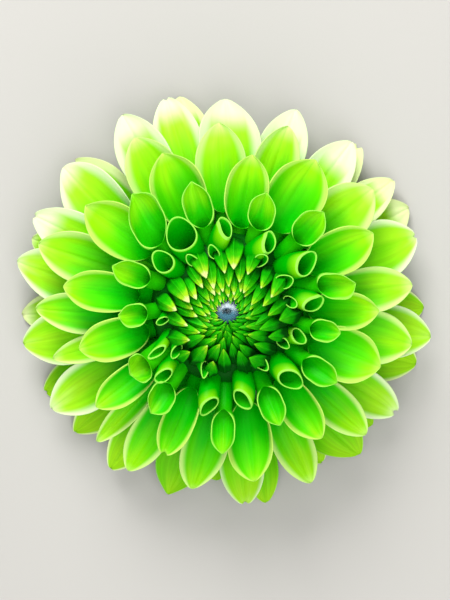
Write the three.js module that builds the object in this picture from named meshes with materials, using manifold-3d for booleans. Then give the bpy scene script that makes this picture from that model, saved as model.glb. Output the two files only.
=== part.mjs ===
// A double dahlia bloom, picked with a short stub of stem and lying face up on its back florets.
// Millimetres, +Z up. The origin is the bottom centre of the bloom's bounding box.

import * as THREE from "three";
import { mergeVertices } from "three/addons/utils/BufferGeometryUtils.js";
import Module from "manifold-3d";

const wasm = await Module();
wasm.setup();

// ---- Driving dimensions ----

const EYE_RADIUS = 3.1; // the blue-grey disc in the middle of the bud
const EYE_HEIGHT = 43.6; // of its top, above the cut end of the stem
const STEM_RADIUS = 2.9;
const STEM_TOP = 7.2;
const RECEPTACLE_RADIUS = 11.4;
const RECEPTACLE_TOP = 19.7;
const BUD_RADIUS = 18.4;
const BUD_RIM = 36.6; // height of the closed bud's widest ring
const BUD_TOP = 43;
const SEAT_GAP = 0.35; // between pieces that touch
const CLAW_HALF = 0.95; // half the breadth of a floret where it leaves the receptacle
const TIP_HALF = 0.5;
const SHEET = 0.8; // thickness of a floret's blade
const MOUTH_SLANT = 1.1; // how far a quill's upper lip stands back, for each millimetre of the mouth's height
const MOUTH_DEPTH = 3;
const BUD_COLUMNS = 26; // twice the florets in one ring of the closed bud
const BUD_TWIST = 7; // degrees that each ring of the bud is turned from the last
const BUD_RELIEF = 0.8; // how far the florets' tips stand out of the bud

// The bloom was measured as it shows from in front, a little below its axis: what lies further back shows
// higher up, and what lies further forward shows larger.
const VIEW_LEAN = 0.105;
const VIEW_DISTANCE = 620;
const MEASURED_AT = 11.5; // the height at which the measured reach is the true one

// A whorl is a ring of like florets. base and tip are [radius, height] in the bloom's own meridian plane, with the
// slope of the blade there in degrees; widest is how far along the blade it is broadest, and wrap how far each half
// of the blade curls round its own midline there, in degrees.
// Each floret is [azimuth, reach of its tip, breadth, lift of its tip], in degrees and millimetres.

const WHORLS = {
  quills: {
    base: [5.6, 19.6],
    tipHeight: 42,
    slopes: [70, 46],
    florets: [
      [4, 27.6, 4.6, -1.5],
      [33, 30.6, 6.2, 0],
      [60, 26.8, 5.2, 0],
      [92, 26.8, 5.0, -1],
      [121, 31.8, 6.8, 0],
      [142, 27.4, 5.0, 0],
      [208, 27.0, 5.4, -1],
      [223, 28.6, 4.4, -0.5],
      [259, 30.6, 5.2, 0],
      [280, 28.4, 6.0, 0],
      [315, 30.2, 5.6, 0],
      [343, 24.4, 4.2, -2],
    ],
  },
  inner: {
    base: [7.5, 18.5],
    tipHeight: 40,
    slopes: [56, 28],
    widest: 0.72,
    wrap: 62,
    florets: [
      [12.5, 38.3, 8.4, 0],
      [45, 40.0, 8.8, 0],
      [71.5, 36.0, 7.6, 1],
      [105, 38.6, 9.0, 1],
      [129.5, 44.4, 12.6, -1],
      [158, 36.0, 7.6, 1],
      [182.5, 32.0, 7.0, -0.5],
      [211, 34.2, 6.6, -1],
      [231.5, 37.4, 8.2, -0.6],
      [268, 41.5, 6.4, -1],
      [294, 36.5, 7.2, 1],
      [325.5, 38.0, 7.6, 0],
      [348.5, 33.4, 5.6, 1],
    ],
  },
  middle: {
    base: [9.3, 17.3],
    tipHeight: 33,
    slopes: [44, 13],
    widest: 0.68,
    wrap: 58,
    florets: [
      [0.5, 43.9, 11.0, 1.6],
      [28.5, 47.9, 14.0, 0],
      [60, 50.8, 14.4, -1.6],
      [81, 46.1, 10.6, 2.2],
      [112, 49.6, 15.2, 0],
      [143, 51.3, 14.2, -1],
      [171, 48.1, 10.8, 0],
      [194, 44.4, 12.0, 1],
      [216, 47.3, 9.8, 0],
      [246, 45.2, 10.2, 0],
      [279, 49.6, 14.0, 0],
      [306.5, 46.1, 10.6, 1],
      [340, 47.3, 12.8, -1.6],
    ],
  },
  wide: {
    base: [10.7, 16.1],
    tipHeight: 22,
    slopes: [29, -3],
    widest: 0.66,
    wrap: 52,
    florets: [
      [8.5, 54.2, 12.4, 1.6],
      [40.5, 55.1, 16.2, 0],
      [72, 56.6, 12.0, 0],
      [92.5, 54.8, 14.6, 1],
      [118, 57.1, 15.0, 0],
      [160, 58.2, 13.0, 0],
      [179, 55.7, 10.8, 1.6],
      [195, 52.5, 8.4, 0],
      [225, 53.9, 7.4, 1.8],
      [238, 55.1, 9.8, -1.4],
      [259, 52.8, 13.0, 0],
      [296, 56.0, 10.6, 0],
      [318.5, 54.2, 10.6, 1],
      [350, 54.5, 12.8, -1.4],
    ],
  },
  outer: {
    base: [11.9, 14.8],
    tipHeight: 10.5,
    slopes: [14, -20],
    widest: 0.66,
    wrap: 44,
    florets: [
      [22, 58.9, 16.4, 0],
      [54, 60.9, 13.0, 0],
      [71.5, 61.8, 13.0, 0],
      [90, 61.2, 14.8, 1.8],
      [106, 63.8, 11.0, -1.4],
      [118, 64.4, 11.6, 1.8],
      [138, 63.2, 14.0, -1.4],
      [153.5, 62.6, 11.4, 2.8],
      [166.5, 62.6, 12.4, -1.8],
      [188.5, 60.0, 14.2, 0],
      [209, 58.6, 15.0, 0],
      [275, 55.4, 15.0, 0],
      [329, 57.1, 13.2, 0],
      [353, 59.7, 15.0, 0],
    ],
  },
  back: {
    base: [12.4, 12.8],
    tipHeight: 0.4,
    slopes: [4, -26],
    widest: 0.66,
    wrap: 38,
    florets: [
      [1, 56.8, 13.0, 0],
      [28.5, 60.0, 13.0, 0],
      [38.6, 61.3, 10.4, 4],
      [51.5, 62.3, 11.0, 4.5],
      [100, 65.0, 10.6, 3],
      [131.5, 63.5, 12.0, 3],
      [159.5, 60.4, 12.4, 3],
      [181, 59.7, 13.0, 0],
      [204, 58.0, 12.0, 0],
      [218.5, 56.8, 10.6, 0],
      [233.5, 57.4, 11.4, 6],
      [252, 56.2, 14.4, 5],
      [266, 50, 12, 0],
      [281.5, 57.2, 10.4, 0],
      [302, 51.8, 11.4, 5],
      [312, 56.8, 12.6, 6],
      [321.5, 53.8, 11, 0],
      [344, 57.1, 13.2, 0],
    ],
  },
};

const OUTER_BRACTS = { count: 5, first: 20, base: [7.4, 8.1], tip: [18.5, 3.2], slopes: [4, -44], breadth: 6 };
const INNER_BRACTS = { count: 8, first: 0, base: [9.9, 9.7], tip: [22.5, 10.2], slopes: [22, -14], breadth: 9 };

// ---- Materials, with the colours of the bloom ----

const finish = (color, roughness) => new THREE.MeshStandardMaterial({ color, roughness, metalness: 0 });
const FLORET_FINISH = finish("#6fdc12", 0.5);
const YOUNG_FINISH = finish("#34b80c", 0.5);
const EYE_FINISH = finish("#6c8292", 0.8);
const BRACT_FINISH = finish("#5fa52a", 0.6);
const STEM_FINISH = finish("#6f9a3c", 0.6);

// ---- Helpers ----

const UP = new THREE.Vector3(0, 0, 1);
const { lerp, degToRad, smoothstep } = THREE.MathUtils;

/** Where a tip really is, as [azimuth in radians, radius], when it shows at this azimuth and reach. */
function truePlace(azimuth, reach, height) {
  const nearer = 1 - (height - MEASURED_AT) / VIEW_DISTANCE;
  const angle = degToRad(azimuth);
  const x = reach * nearer * Math.cos(angle);
  const y = reach * nearer * Math.sin(angle) - VIEW_LEAN * (EYE_HEIGHT - height);
  return [Math.atan2(y, x), Math.hypot(x, y)];
}

/** The midline of a blade from base to tip, both [radius, height], in the vertical plane at an azimuth. */
function midline(azimuth, base, tip, slopes) {
  const place = ([r, z]) => new THREE.Vector3(r * Math.cos(azimuth), r * Math.sin(azimuth), z);
  const reach = Math.hypot(tip[0] - base[0], tip[1] - base[1]) * 0.34;
  const [rise, fall] = slopes.map(degToRad);
  return new THREE.CubicBezierCurve3(
    place(base),
    place([base[0] + reach * Math.cos(rise), base[1] + reach * Math.sin(rise)]),
    place([tip[0] - reach * Math.cos(fall), tip[1] - reach * Math.sin(fall)]),
    place(tip),
  );
}

/** Half the breadth of a blade at v, from its claw through its widest place to its tip. */
function halfBreadth(v, widest, broad) {
  if (v < widest) return lerp(CLAW_HALF, broad, smoothstep(v, 0.12, widest));
  const past = (v - widest) / (1 - widest);
  return lerp(TIP_HALF, broad, Math.sqrt(Math.max(0, 1 - past ** 2.1)));
}

/** How far each half of a blade curls round its midline at v, in radians: nearly a tube low down, opening above. */
function curlAt(v, widest, wrap) {
  const rolled = smoothstep(v, 0, 0.3) * lerp(1.5, 1, smoothstep(v, 0.3, widest));
  const opened = lerp(1, 0.6, smoothstep(v, widest, 1));
  return degToRad(wrap) * rolled * opened + 0.12;
}

/** A thin box bent along a midline, troughed across and closed all round. */
function blade({ line, breadth, widest, wrap, thickness = SHEET, across = 4, along = 7 }) {
  const geometry = new THREE.BoxGeometry(2, 1, 1, across, 1, along);
  const points = geometry.getAttribute("position");
  const side = new THREE.Vector3();
  const normal = new THREE.Vector3();
  for (let i = 0; i < points.count; i += 1) {
    const v = points.getZ(i) + 0.5;
    const tangent = line.getTangent(v);
    side.crossVectors(UP, tangent).normalize();
    normal.crossVectors(tangent, side);
    const half = halfBreadth(v, widest, breadth / 2);
    const curl = curlAt(v, widest, wrap);
    const radius = half / Math.sin(Math.min(curl, Math.PI / 2));
    const angle = points.getX(i) * curl;
    const thick = points.getY(i) * thickness;
    const point = line
      .getPoint(v)
      .addScaledVector(side, (radius - thick) * Math.sin(angle))
      .addScaledVector(normal, radius - (radius - thick) * Math.cos(angle));
    points.setXYZ(i, point.x, point.y, point.z);
  }
  return geometry;
}

/** A solid of revolution about Z through [radius, height] points. */
function turned(profile, segments = 28) {
  const outline = profile.map(([r, z]) => new THREE.Vector2(r, z));
  return new THREE.LatheGeometry(outline, segments).rotateX(Math.PI / 2);
}

/** A closed geometry as a solid that can be joined. */
function solid(geometry) {
  const bare = geometry.clone();
  bare.deleteAttribute("normal");
  bare.deleteAttribute("uv");
  const merged = mergeVertices(bare, 1e-4);
  const vertProperties = merged.getAttribute("position").array;
  const triVerts = new Uint32Array(merged.index.array);
  const made = new wasm.Manifold(new wasm.Mesh({ numProp: 3, vertProperties, triVerts }));
  if (made.volume() > 0) return made;
  for (let i = 0; i < triVerts.length; i += 3) {
    [triVerts[i + 1], triVerts[i + 2]] = [triVerts[i + 2], triVerts[i + 1]];
  }
  return new wasm.Manifold(new wasm.Mesh({ numProp: 3, vertProperties, triVerts }));
}

/** Closed geometries joined into one body. */
function joined(geometries) {
  const mesh = geometries.map(solid).reduce((all, next) => all.add(next)).getMesh();
  return new THREE.BufferGeometry()
    .setAttribute("position", new THREE.BufferAttribute(mesh.vertProperties, 3))
    .setIndex(new THREE.BufferAttribute(mesh.triVerts, 1));
}

function piece(name, geometry, material) {
  const mesh = new THREE.Mesh(geometry, material);
  mesh.name = name;
  return mesh;
}

// ---- Parts of the bloom ----

/** One open floret of a whorl. */
function floret(whorl, [azimuth, reach, breadth, lift]) {
  const height = whorl.tipHeight + lift;
  const [angle, radius] = truePlace(azimuth, reach, height);
  const line = midline(angle, whorl.base, [radius, height], whorl.slopes);
  return blade({ line, breadth, widest: whorl.widest, wrap: whorl.wrap });
}

/** A young floret still rolled into a quill: a tube that widens to a slanting, hollow mouth. */
function quill(whorl, [azimuth, reach, breadth, lift]) {
  const height = whorl.tipHeight + lift;
  const [angle, radius] = truePlace(azimuth, reach, height);
  const line = midline(angle, whorl.base, [radius, height], whorl.slopes);
  const geometry = new THREE.CylinderGeometry(1, 1, 1, 8, 4);
  const points = geometry.getAttribute("position");
  const side = new THREE.Vector3();
  const normal = new THREE.Vector3();
  for (let i = 0; i < points.count; i += 1) {
    const v = points.getY(i) + 0.5;
    const tangent = line.getTangent(v);
    side.crossVectors(UP, tangent).normalize();
    normal.crossVectors(tangent, side);
    const round = lerp(CLAW_HALF, breadth / 2, smoothstep(v, 0, 0.9));
    const slant = -MOUTH_SLANT * round * (1 + points.getZ(i)) * smoothstep(v, 0.45, 1);
    const atMouthCentre = v === 1 && points.getX(i) === 0 && points.getZ(i) === 0;
    const point = line
      .getPoint(v)
      .addScaledVector(side, round * points.getX(i))
      .addScaledVector(normal, round * (1 + points.getZ(i)))
      .addScaledVector(tangent, atMouthCentre ? slant - MOUTH_DEPTH : slant);
    points.setXYZ(i, point.x, point.y, point.z);
  }
  return geometry;
}

/** The closed bud in the middle with the quills that stand round it. */
function bud() {
  const dimple = EYE_RADIUS + SEAT_GAP;
  const under = [
    [0, RECEPTACLE_TOP + SEAT_GAP],
    [4.4, RECEPTACLE_TOP + SEAT_GAP],
    [6.2, 27],
    [11, 32],
    [16.6, 34],
  ];
  const dome = [
    [BUD_RADIUS, BUD_RIM],
    [18, 38.4],
    [16.8, 40],
    [15, 41.3],
    [13, 42.2],
    [11, 42.8],
    [9, BUD_TOP],
    [7, BUD_TOP],
    [5.6, 42.9],
  ];
  const inside = [
    [dimple + 0.5, 42.4],
    [dimple, EYE_HEIGHT - 2.6],
    [0, EYE_HEIGHT - 2.6],
  ];
  const rows = under.length + dome.length + inside.length;
  const heart = turned([...under, ...dome, ...inside], BUD_COLUMNS);
  const points = heart.getAttribute("position");
  for (let i = 0; i < points.count; i += 1) {
    const row = (i % rows) - under.length;
    if (row < 0 || row >= dome.length) continue;
    const column = Math.floor(i / rows) % BUD_COLUMNS;
    const stands = (row + column) % 2 ? BUD_RELIEF : -BUD_RELIEF;
    const point = new THREE.Vector3().fromBufferAttribute(points, i);
    const outward = point.clone().setZ((point.z - BUD_RIM) * 2.5).normalize();
    point.addScaledVector(outward, stands).applyAxisAngle(UP, degToRad(row * BUD_TWIST));
    points.setXYZ(i, point.x, point.y, point.z);
  }
  return joined([heart, ...WHORLS.quills.florets.map((one) => quill(WHORLS.quills, one))]);
}

/** The rounded disc that fills the dimple of the bud. */
function eye() {
  const floor = EYE_HEIGHT - 2.6 + SEAT_GAP;
  return turned([
    [0, floor],
    [EYE_RADIUS, floor],
    [EYE_RADIUS, EYE_HEIGHT - 1.2],
    [EYE_RADIUS * 0.75, EYE_HEIGHT - 0.3],
    [0, EYE_HEIGHT],
  ], 18);
}

/** The stub of the stem, widening into the receptacle that carries every floret. */
function stem() {
  return turned([
    [0, 0],
    [STEM_RADIUS, 0],
    [STEM_RADIUS - 0.2, 4],
    [STEM_RADIUS + 0.3, STEM_TOP],
    [8.2, 9.4],
    [RECEPTACLE_RADIUS, 12],
    [RECEPTACLE_RADIUS, 14.6],
    [10.3, 15.8],
    [8.95, 16.9],
    [7.2, 18.05],
    [5.2, 18.9],
    [2.8, 19.4],
    [0, RECEPTACLE_TOP],
  ]);
}

/** The outermost florets, which meet in a ring round the receptacle. */
function backFlorets() {
  const inner = RECEPTACLE_RADIUS + SEAT_GAP;
  const ring = turned([
    [inner, 12.2],
    [inner + 1.5, 12.3],
    [inner + 1.5, 13.2],
    [inner, 13.3],
    [inner, 12.2],
  ]);
  return joined([ring, ...WHORLS.back.florets.map((one) => floret(WHORLS.back, one))]);
}

/** A ring of bracts joined where they grow together. */
function bracts({ count, first, base, tip, slopes, breadth }) {
  const ring = turned([
    [base[0] - 0.2, base[1] - 0.4],
    [base[0] + 1, base[1] - 0.2],
    [base[0] + 1, base[1] + 0.3],
    [base[0] - 0.2, base[1] + 0.1],
    [base[0] - 0.2, base[1] - 0.4],
  ]);
  const leaves = Array.from({ length: count }, (_, i) => {
    const line = midline(degToRad(first + (i * 360) / count), base, tip, slopes);
    return blade({ line, breadth, widest: 0.5, wrap: 24, thickness: 0.6, across: 2, along: 5 });
  });
  return joined([ring, ...leaves]);
}

// ---- The bloom ----

const bloom = new THREE.Group();
bloom.add(
  piece("stem", stem(), STEM_FINISH),
  piece("outer_bracts", bracts(OUTER_BRACTS), BRACT_FINISH),
  piece("inner_bracts", bracts(INNER_BRACTS), BRACT_FINISH),
  piece("back_florets", backFlorets(), FLORET_FINISH),
  piece("bud", bud(), YOUNG_FINISH),
  piece("eye", eye(), EYE_FINISH),
);
for (const ring of ["outer", "wide", "middle", "inner"]) {
  WHORLS[ring].florets.forEach((place, i) => {
    const name = `${ring}_floret_${String(i + 1).padStart(2, "0")}`;
    bloom.add(piece(name, floret(WHORLS[ring], place), FLORET_FINISH));
  });
}

const extent = new THREE.Box3().setFromObject(bloom, true);
const middle = extent.getCenter(new THREE.Vector3());
bloom.position.set(-middle.x, -middle.y, -extent.min.z);

export default bloom;
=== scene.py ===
"""A green double dahlia bloom, picked and lying face up on its back florets.

The blades of the florets, the closed bud, the disc in its middle, the bracts and the stem are made here in
full, each in the place of its plain solid. Sizes in this file are in millimetres unless a name says
otherwise. Meshes are made in metres, in the frame of the solids: +Z up along the bloom's axis, +X to the
right and +Y to the top of its face.
"""

import logging
import math
from dataclasses import dataclass, replace
from enum import Enum

import bpy
import numpy as np
from bpy.types import ID, Material, Node, NodeSocket, NodeTree, Object
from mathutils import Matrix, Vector


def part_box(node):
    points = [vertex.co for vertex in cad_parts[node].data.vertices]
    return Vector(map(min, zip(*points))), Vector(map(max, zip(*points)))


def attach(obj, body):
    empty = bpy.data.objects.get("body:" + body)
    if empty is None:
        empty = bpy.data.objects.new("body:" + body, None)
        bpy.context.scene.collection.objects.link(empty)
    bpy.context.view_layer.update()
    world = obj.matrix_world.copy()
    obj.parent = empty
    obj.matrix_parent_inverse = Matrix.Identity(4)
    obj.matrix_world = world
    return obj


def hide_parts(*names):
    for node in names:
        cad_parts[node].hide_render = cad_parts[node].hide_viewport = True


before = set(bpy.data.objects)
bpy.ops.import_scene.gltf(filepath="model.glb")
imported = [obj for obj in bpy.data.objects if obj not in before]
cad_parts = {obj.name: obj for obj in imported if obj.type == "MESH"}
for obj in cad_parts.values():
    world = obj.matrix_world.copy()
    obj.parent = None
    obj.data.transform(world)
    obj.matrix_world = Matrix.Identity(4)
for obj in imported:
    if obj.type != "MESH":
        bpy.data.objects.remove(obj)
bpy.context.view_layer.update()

LOG = logging.getLogger("dahlia")
MM = 0.001

# The bloom's own axis is a little off the middle of its bounding box, because its florets differ in reach.
EYE_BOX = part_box("eye")
AXIS = (EYE_BOX[0] + EYE_BOX[1]) / 2 / MM
EYE_HEIGHT = 43.6
# The bloom was measured as it shows from in front, a little off its axis. What lies further back shows higher
# up, and what lies further forward shows larger.
VIEW_LEAN = 0.105  # the slope of the line of sight against the axis
VIEW_DISTANCE = 620.0
MEASURED_AT = 11.5  # the height where a length shows as it is
GOLDEN_ANGLE = math.radians(137.508)
PAINTED_LIGHT_SIDE = math.radians(125.0)  # painted light: where round the eye the closed florets are painted palest, on the side of the window lamp
PAINTED_LIGHT_ABOVE = 0.32  # painted light: how much paler the other florets are painted towards the top of the face, nearer the window lamp, than halfway down
PALER_BY_CHANCE = 0.18


# ---- Small helpers ----


def linear(code: str, alpha: float = 1.0) -> tuple[float, float, float, float]:
    """Turn an sRGB hex colour into Blender's linear one.

    Args:
        code: The colour as "#rrggbb".
        alpha: Its opacity.

    Returns:
        Red, green, blue and alpha from 0 to 1.
    """
    channels = (int(code[i : i + 2], 16) / 255 for i in (1, 3, 5))
    return (*(c / 12.92 if c <= 0.04045 else ((c + 0.055) / 1.055) ** 2.4 for c in channels), alpha)


def add(tree: NodeTree, kind: str, inputs: dict | None = None, **settings: object) -> Node:
    """Add a node with its settings and links.

    Args:
        tree: The node tree that it goes in.
        kind: Blender's name for the kind of node.
        inputs: What goes in each input, by name or number: a socket is linked, anything else is set.
        settings: The node's own properties.

    Returns:
        The node.
    """
    node = tree.nodes.new(kind)
    for name, value in settings.items():
        setattr(node, name, value)
    for key, value in (inputs or {}).items():
        if isinstance(value, NodeSocket):
            tree.links.new(value, node.inputs[key])
        else:
            node.inputs[key].default_value = value
    return node


def smooth(x: np.ndarray | float, low: float, high: float) -> np.ndarray:
    """Give the smooth step from 0 at low to 1 at high."""
    t = np.clip((np.asarray(x, float) - low) / (high - low), 0, 1)
    return t * t * (3 - 2 * t)


def blend(a: np.ndarray | float, b: np.ndarray | float, t: np.ndarray | float) -> np.ndarray | float:
    """Give what lies between a and b, a where t is 0 and b where it is 1."""
    return a + (b - a) * t


def wobble(seed: float, turn: float = 0.0) -> float:
    """Give a fixed number from -1 to 1 that looks random from one seed to the next."""
    return math.sin(seed * 12.9898 + turn * 78.233 + 1.7)


def bare_material(name: str) -> tuple[Material, NodeTree]:
    """Make a material and give it with its node tree, which is empty."""
    material = bpy.data.materials.new(name)
    material.use_nodes = True
    material.node_tree.nodes.clear()
    return material, material.node_tree


def stand(name: str, data: ID) -> Object:
    """Make an object of a mesh, a light or a camera, and put it in the scene at the origin."""
    made = bpy.data.objects.new(name, data)
    bpy.context.scene.collection.objects.link(made)
    return made


# ---- Meshes ----


@dataclass
class Shell:
    """A mesh in the making: its points in millimetres, its faces and what its finish reads at each point."""

    points: np.ndarray
    faces: list[tuple[int, ...]]
    blade: np.ndarray  # across (-1 to 1), along (0 to 1) and which side (1 above, 0 below) of each point
    tone: np.ndarray  # lighter or darker than its neighbours, 0 to 1; on florets partly painted light

    @staticmethod
    def joined(shells: list["Shell"]) -> "Shell":
        """Put several shells in one.

        Args:
            shells: The shells, which stay as they are.

        Returns:
            One shell with everything that they hold.
        """
        starts = np.cumsum([0] + [len(s.points) for s in shells])
        faces = [tuple(i + start for i in face) for s, start in zip(shells, starts) for face in s.faces]
        return Shell(
            np.concatenate([s.points for s in shells]),
            faces,
            np.concatenate([s.blade for s in shells]),
            np.concatenate([s.tone for s in shells]),
        )

    def outward(self) -> "Shell":
        """Turn the faces round if the closed shell is inside out, and give the shell back."""
        centre = self.points.mean(axis=0)
        volume = 0.0
        for face in self.faces:
            corners = self.points[list(face)] - centre
            for b, c in zip(corners[1:-1], corners[2:]):
                volume += float(np.dot(corners[0], np.cross(b, c)))
        if volume < 0:
            self.faces = [face[::-1] for face in self.faces]
        return self

    def piece(self, name: str, material: Material) -> Object:
        """Make the shell a Blender object.

        Args:
            name: The object's name.
            material: What it is made of.

        Returns:
            The object, at the origin, smooth and linked to the scene.
        """
        mesh = bpy.data.meshes.new(name)
        mesh.from_pydata((self.points * MM).tolist(), [], self.faces)
        blade = mesh.attributes.new("blade", "FLOAT_VECTOR", "POINT")
        blade.data.foreach_set("vector", self.blade.astype(np.float32).ravel())
        tone = mesh.attributes.new("tone", "FLOAT", "POINT")
        tone.data.foreach_set("value", self.tone.astype(np.float32))
        mesh.polygons.foreach_set("use_smooth", [True] * len(mesh.polygons))
        mesh.materials.append(material)
        mesh.update()
        return stand(name, mesh)


def tube_faces(rings: int, around: int) -> list[tuple[int, ...]]:
    """List the faces of a closed skin over rings of points, with a flat face over each end.

    Args:
        rings: How many rings there are.
        around: How many points each ring has.

    Returns:
        The faces, as numbers of points.
    """
    faces: list[tuple[int, ...]] = []
    for ring in range(rings - 1):
        for i in range(around):
            j = (i + 1) % around
            a, b = ring * around, (ring + 1) * around
            faces.append((a + i, a + j, b + j, b + i))
    faces.append(tuple(range(around))[::-1])
    faces.append(tuple((rings - 1) * around + i for i in range(around)))
    return faces


def seat(piece: Object, slot: str, *nodes: str) -> None:
    """Put a finished piece in the place of its plain solids.

    Args:
        piece: The piece.
        slot: Not used.
        nodes: The solids it stands for.
    """
    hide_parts(*nodes)
    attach(piece, "root")
    LOG.info("%s: %d faces, for %s", piece.name, len(piece.data.polygons), ", ".join(nodes))


# ---- Finishes ----


@dataclass(frozen=True)
class PetalFinish:
    """The living skin of a floret: waxy, thin enough to glow, green in its throat and pale at its margin."""

    name: str
    throat: str
    steps: tuple[tuple[float, float, str], ...]  # from, to and the colour reached there along the blade
    margin: str
    margin_from: float  # how far across the blade the pale margin begins
    tip_from: float  # how far along the blade the pale tip begins
    underside: str
    underside_from: float = 0.3  # how far along the blade its underside begins to take on its own colour
    blushes: bool = False  # whether the underside takes on its own colour towards its edge instead
    bleach_and_painted_light: float = 0.0  # how much further in the pale margin reaches on the florets of highest tone, which is partly painted light
    ripening_and_painted_light: float = 0.0  # how much further along the florets of lowest tone are at the same colour as those of highest tone, which is partly painted light
    widens: float = 0.12  # how much further in the pale margin reaches near the tip
    glow: float = 0.22  # share of light that passes through
    roughness: float = 0.42
    veins: float = 0.5  # how strongly the veins show, 0 to 1
    blotches: float = 0.09  # how far ahead or behind the others its ripest and least ripe blotches are

    def grain(self, tree: NodeTree, place: NodeSocket, tone: NodeSocket) -> tuple[NodeSocket, NodeSocket]:
        """Add the veins and the soft blotches of a floret, which differ from one floret to the next.

        Args:
            tree: The material's node tree.
            place: Where on its blade each point is.
            tone: The floret's own tone.

        Returns:
            How strong the vein is, and how ripe the blotch.
        """
        # Veins run the length of a floret, under a millimetre apart, so their noise is drawn out along it.
        stretched = add(tree, "ShaderNodeVectorMath", {0: place, 1: (9.0, 0.9, 0.0)}, operation="MULTIPLY")
        shifted = add(tree, "ShaderNodeMath", {0: tone, 1: 37.0}, operation="MULTIPLY").outputs[0]
        veins = add(
            tree,
            "ShaderNodeTexNoise",
            {"Vector": stretched.outputs[0], "W": shifted, "Scale": 1.0, "Detail": 3.0, "Roughness": 0.6},
            noise_dimensions="4D",
        )
        blotches = add(
            tree,
            "ShaderNodeTexNoise",
            {"Vector": place, "W": shifted, "Scale": 1.6, "Detail": 1.0},
            noise_dimensions="4D",
        )
        uneven = add(
            tree,
            "ShaderNodeMapRange",
            {
                "Value": blotches.outputs[0],
                "From Min": 0.3,
                "From Max": 0.7,
                "To Min": -self.blotches,
                "To Max": self.blotches,
            },
        )
        return veins.outputs[0], uneven.outputs[0]

    def upper_green(
        self, tree: NodeTree, ripeness: NodeSocket, veins: NodeSocket, tone: NodeSocket
    ) -> NodeSocket:
        """Add the colour of the upper side short of its pale margin, from the throat to the tip.

        Args:
            tree: The material's node tree.
            ripeness: How far towards the colour of the tip each point is.
            veins: How strong the vein is there.
            tone: The floret's tone, partly painted light.

        Returns:
            The colour.
        """
        colour: NodeSocket | tuple[float, ...] = linear(self.throat)
        for low, high, code in self.steps:
            share = add(
                tree,
                "ShaderNodeMapRange",
                {"Value": ripeness, "From Min": low, "From Max": high},
                interpolation_type="SMOOTHSTEP",
            )
            mixed = add(
                tree, "ShaderNodeMix", {0: share.outputs[0], 6: colour, 7: linear(code)}, data_type="RGBA"
            )
            colour = mixed.outputs[2]
        # The skin is darker between the veins and lighter over them.
        streak = add(
            tree,
            "ShaderNodeMapRange",
            {
                "Value": veins,
                "From Min": 0.3,
                "From Max": 0.7,
                "To Min": 1.0 - 0.28 * self.veins,
                "To Max": 1.0 + 0.22 * self.veins,
            },
        )
        # Florets of higher tone are painted a little lighter, which is partly painted light.
        light = add(tree, "ShaderNodeMapRange", {"Value": tone, "To Min": 0.94, "To Max": 1.06})
        both = add(
            tree, "ShaderNodeMath", {0: streak.outputs[0], 1: light.outputs[0]}, operation="MULTIPLY"
        )
        return add(
            tree, "ShaderNodeVectorMath", {0: colour, "Scale": both.outputs[0]}, operation="SCALE"
        ).outputs[0]

    def paleness(
        self, tree: NodeTree, edge: NodeSocket, along: NodeSocket, tone: NodeSocket
    ) -> NodeSocket:
        """Add how pale each point is: at the free margins and at the tip.

        Args:
            tree: The material's node tree.
            edge: How far from its midline towards its margin each point is.
            along: How far from the floret's claw towards its tip.
            tone: The floret's tone, partly painted light, which lets the pale margin reach further in.

        Returns:
            The share of the margin's colour, 0 to 1.
        """
        bleaching_and_painted_light = add(
            tree, "ShaderNodeMapRange", {"Value": tone, "To Min": -self.bleach_and_painted_light, "To Max": self.bleach_and_painted_light}
        ).outputs[0]
        widening = {"Value": along, "From Min": 0.6, "From Max": 1.0, "To Max": self.widens}
        towards_tip = add(tree, "ShaderNodeMapRange", widening).outputs[0]
        broader = add(tree, "ShaderNodeMath", {0: bleaching_and_painted_light, 1: towards_tip}, operation="ADD").outputs[0]
        outwards = add(tree, "ShaderNodeMath", {0: edge, 1: broader}, operation="ADD").outputs[0]
        onwards = add(tree, "ShaderNodeMath", {0: along, 1: bleaching_and_painted_light}, operation="ADD").outputs[0]
        margin_to = max(1.0, self.margin_from + 0.04)
        side = add(
            tree,
            "ShaderNodeMapRange",
            {"Value": outwards, "From Min": self.margin_from, "From Max": margin_to},
            interpolation_type="SMOOTHSTEP",
        ).outputs[0]
        end = add(
            tree,
            "ShaderNodeMapRange",
            {"Value": onwards, "From Min": self.tip_from, "From Max": 1.04},
            interpolation_type="SMOOTHSTEP",
        ).outputs[0]
        # Low down, where its neighbours shade it, a margin stays green.
        past_tube = {"Value": along, "From Min": 0.36, "From Max": 0.62}
        free = add(tree, "ShaderNodeMapRange", past_tube).outputs[0]
        rim = add(tree, "ShaderNodeMath", {0: side, 1: free}, operation="MULTIPLY").outputs[0]
        return add(tree, "ShaderNodeMath", {0: rim, 1: end}, operation="MAXIMUM").outputs[0]

    def material(self) -> Material:
        """Build the material.

        Returns:
            The material, which follows each blade's own "blade" and "tone" attributes.
        """
        made, tree = bare_material(self.name)
        place = add(tree, "ShaderNodeAttribute", attribute_name="blade").outputs["Vector"]
        tone = add(tree, "ShaderNodeAttribute", attribute_name="tone").outputs["Fac"]
        across, along, above = add(tree, "ShaderNodeSeparateXYZ", {0: place}).outputs
        edge = add(tree, "ShaderNodeMath", {0: across}, operation="ABSOLUTE").outputs[0]
        veins, uneven = self.grain(tree, place, tone)
        riper_and_painted_light = add(
            tree, "ShaderNodeMapRange", {"Value": tone, "To Min": -self.ripening_and_painted_light / 2, "To Max": self.ripening_and_painted_light / 2}
        ).outputs[0]
        ahead = add(tree, "ShaderNodeMath", {0: uneven, 1: riper_and_painted_light}, operation="ADD").outputs[0]
        ripeness = add(tree, "ShaderNodeMath", {0: along, 1: ahead}, operation="ADD").outputs[0]
        green = self.upper_green(tree, ripeness, veins, tone)
        pale = self.paleness(tree, edge, along, tone)
        margin = linear(self.margin)
        upper = add(tree, "ShaderNodeMix", {0: pale, 6: green, 7: margin}, data_type="RGBA").outputs[2]

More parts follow.
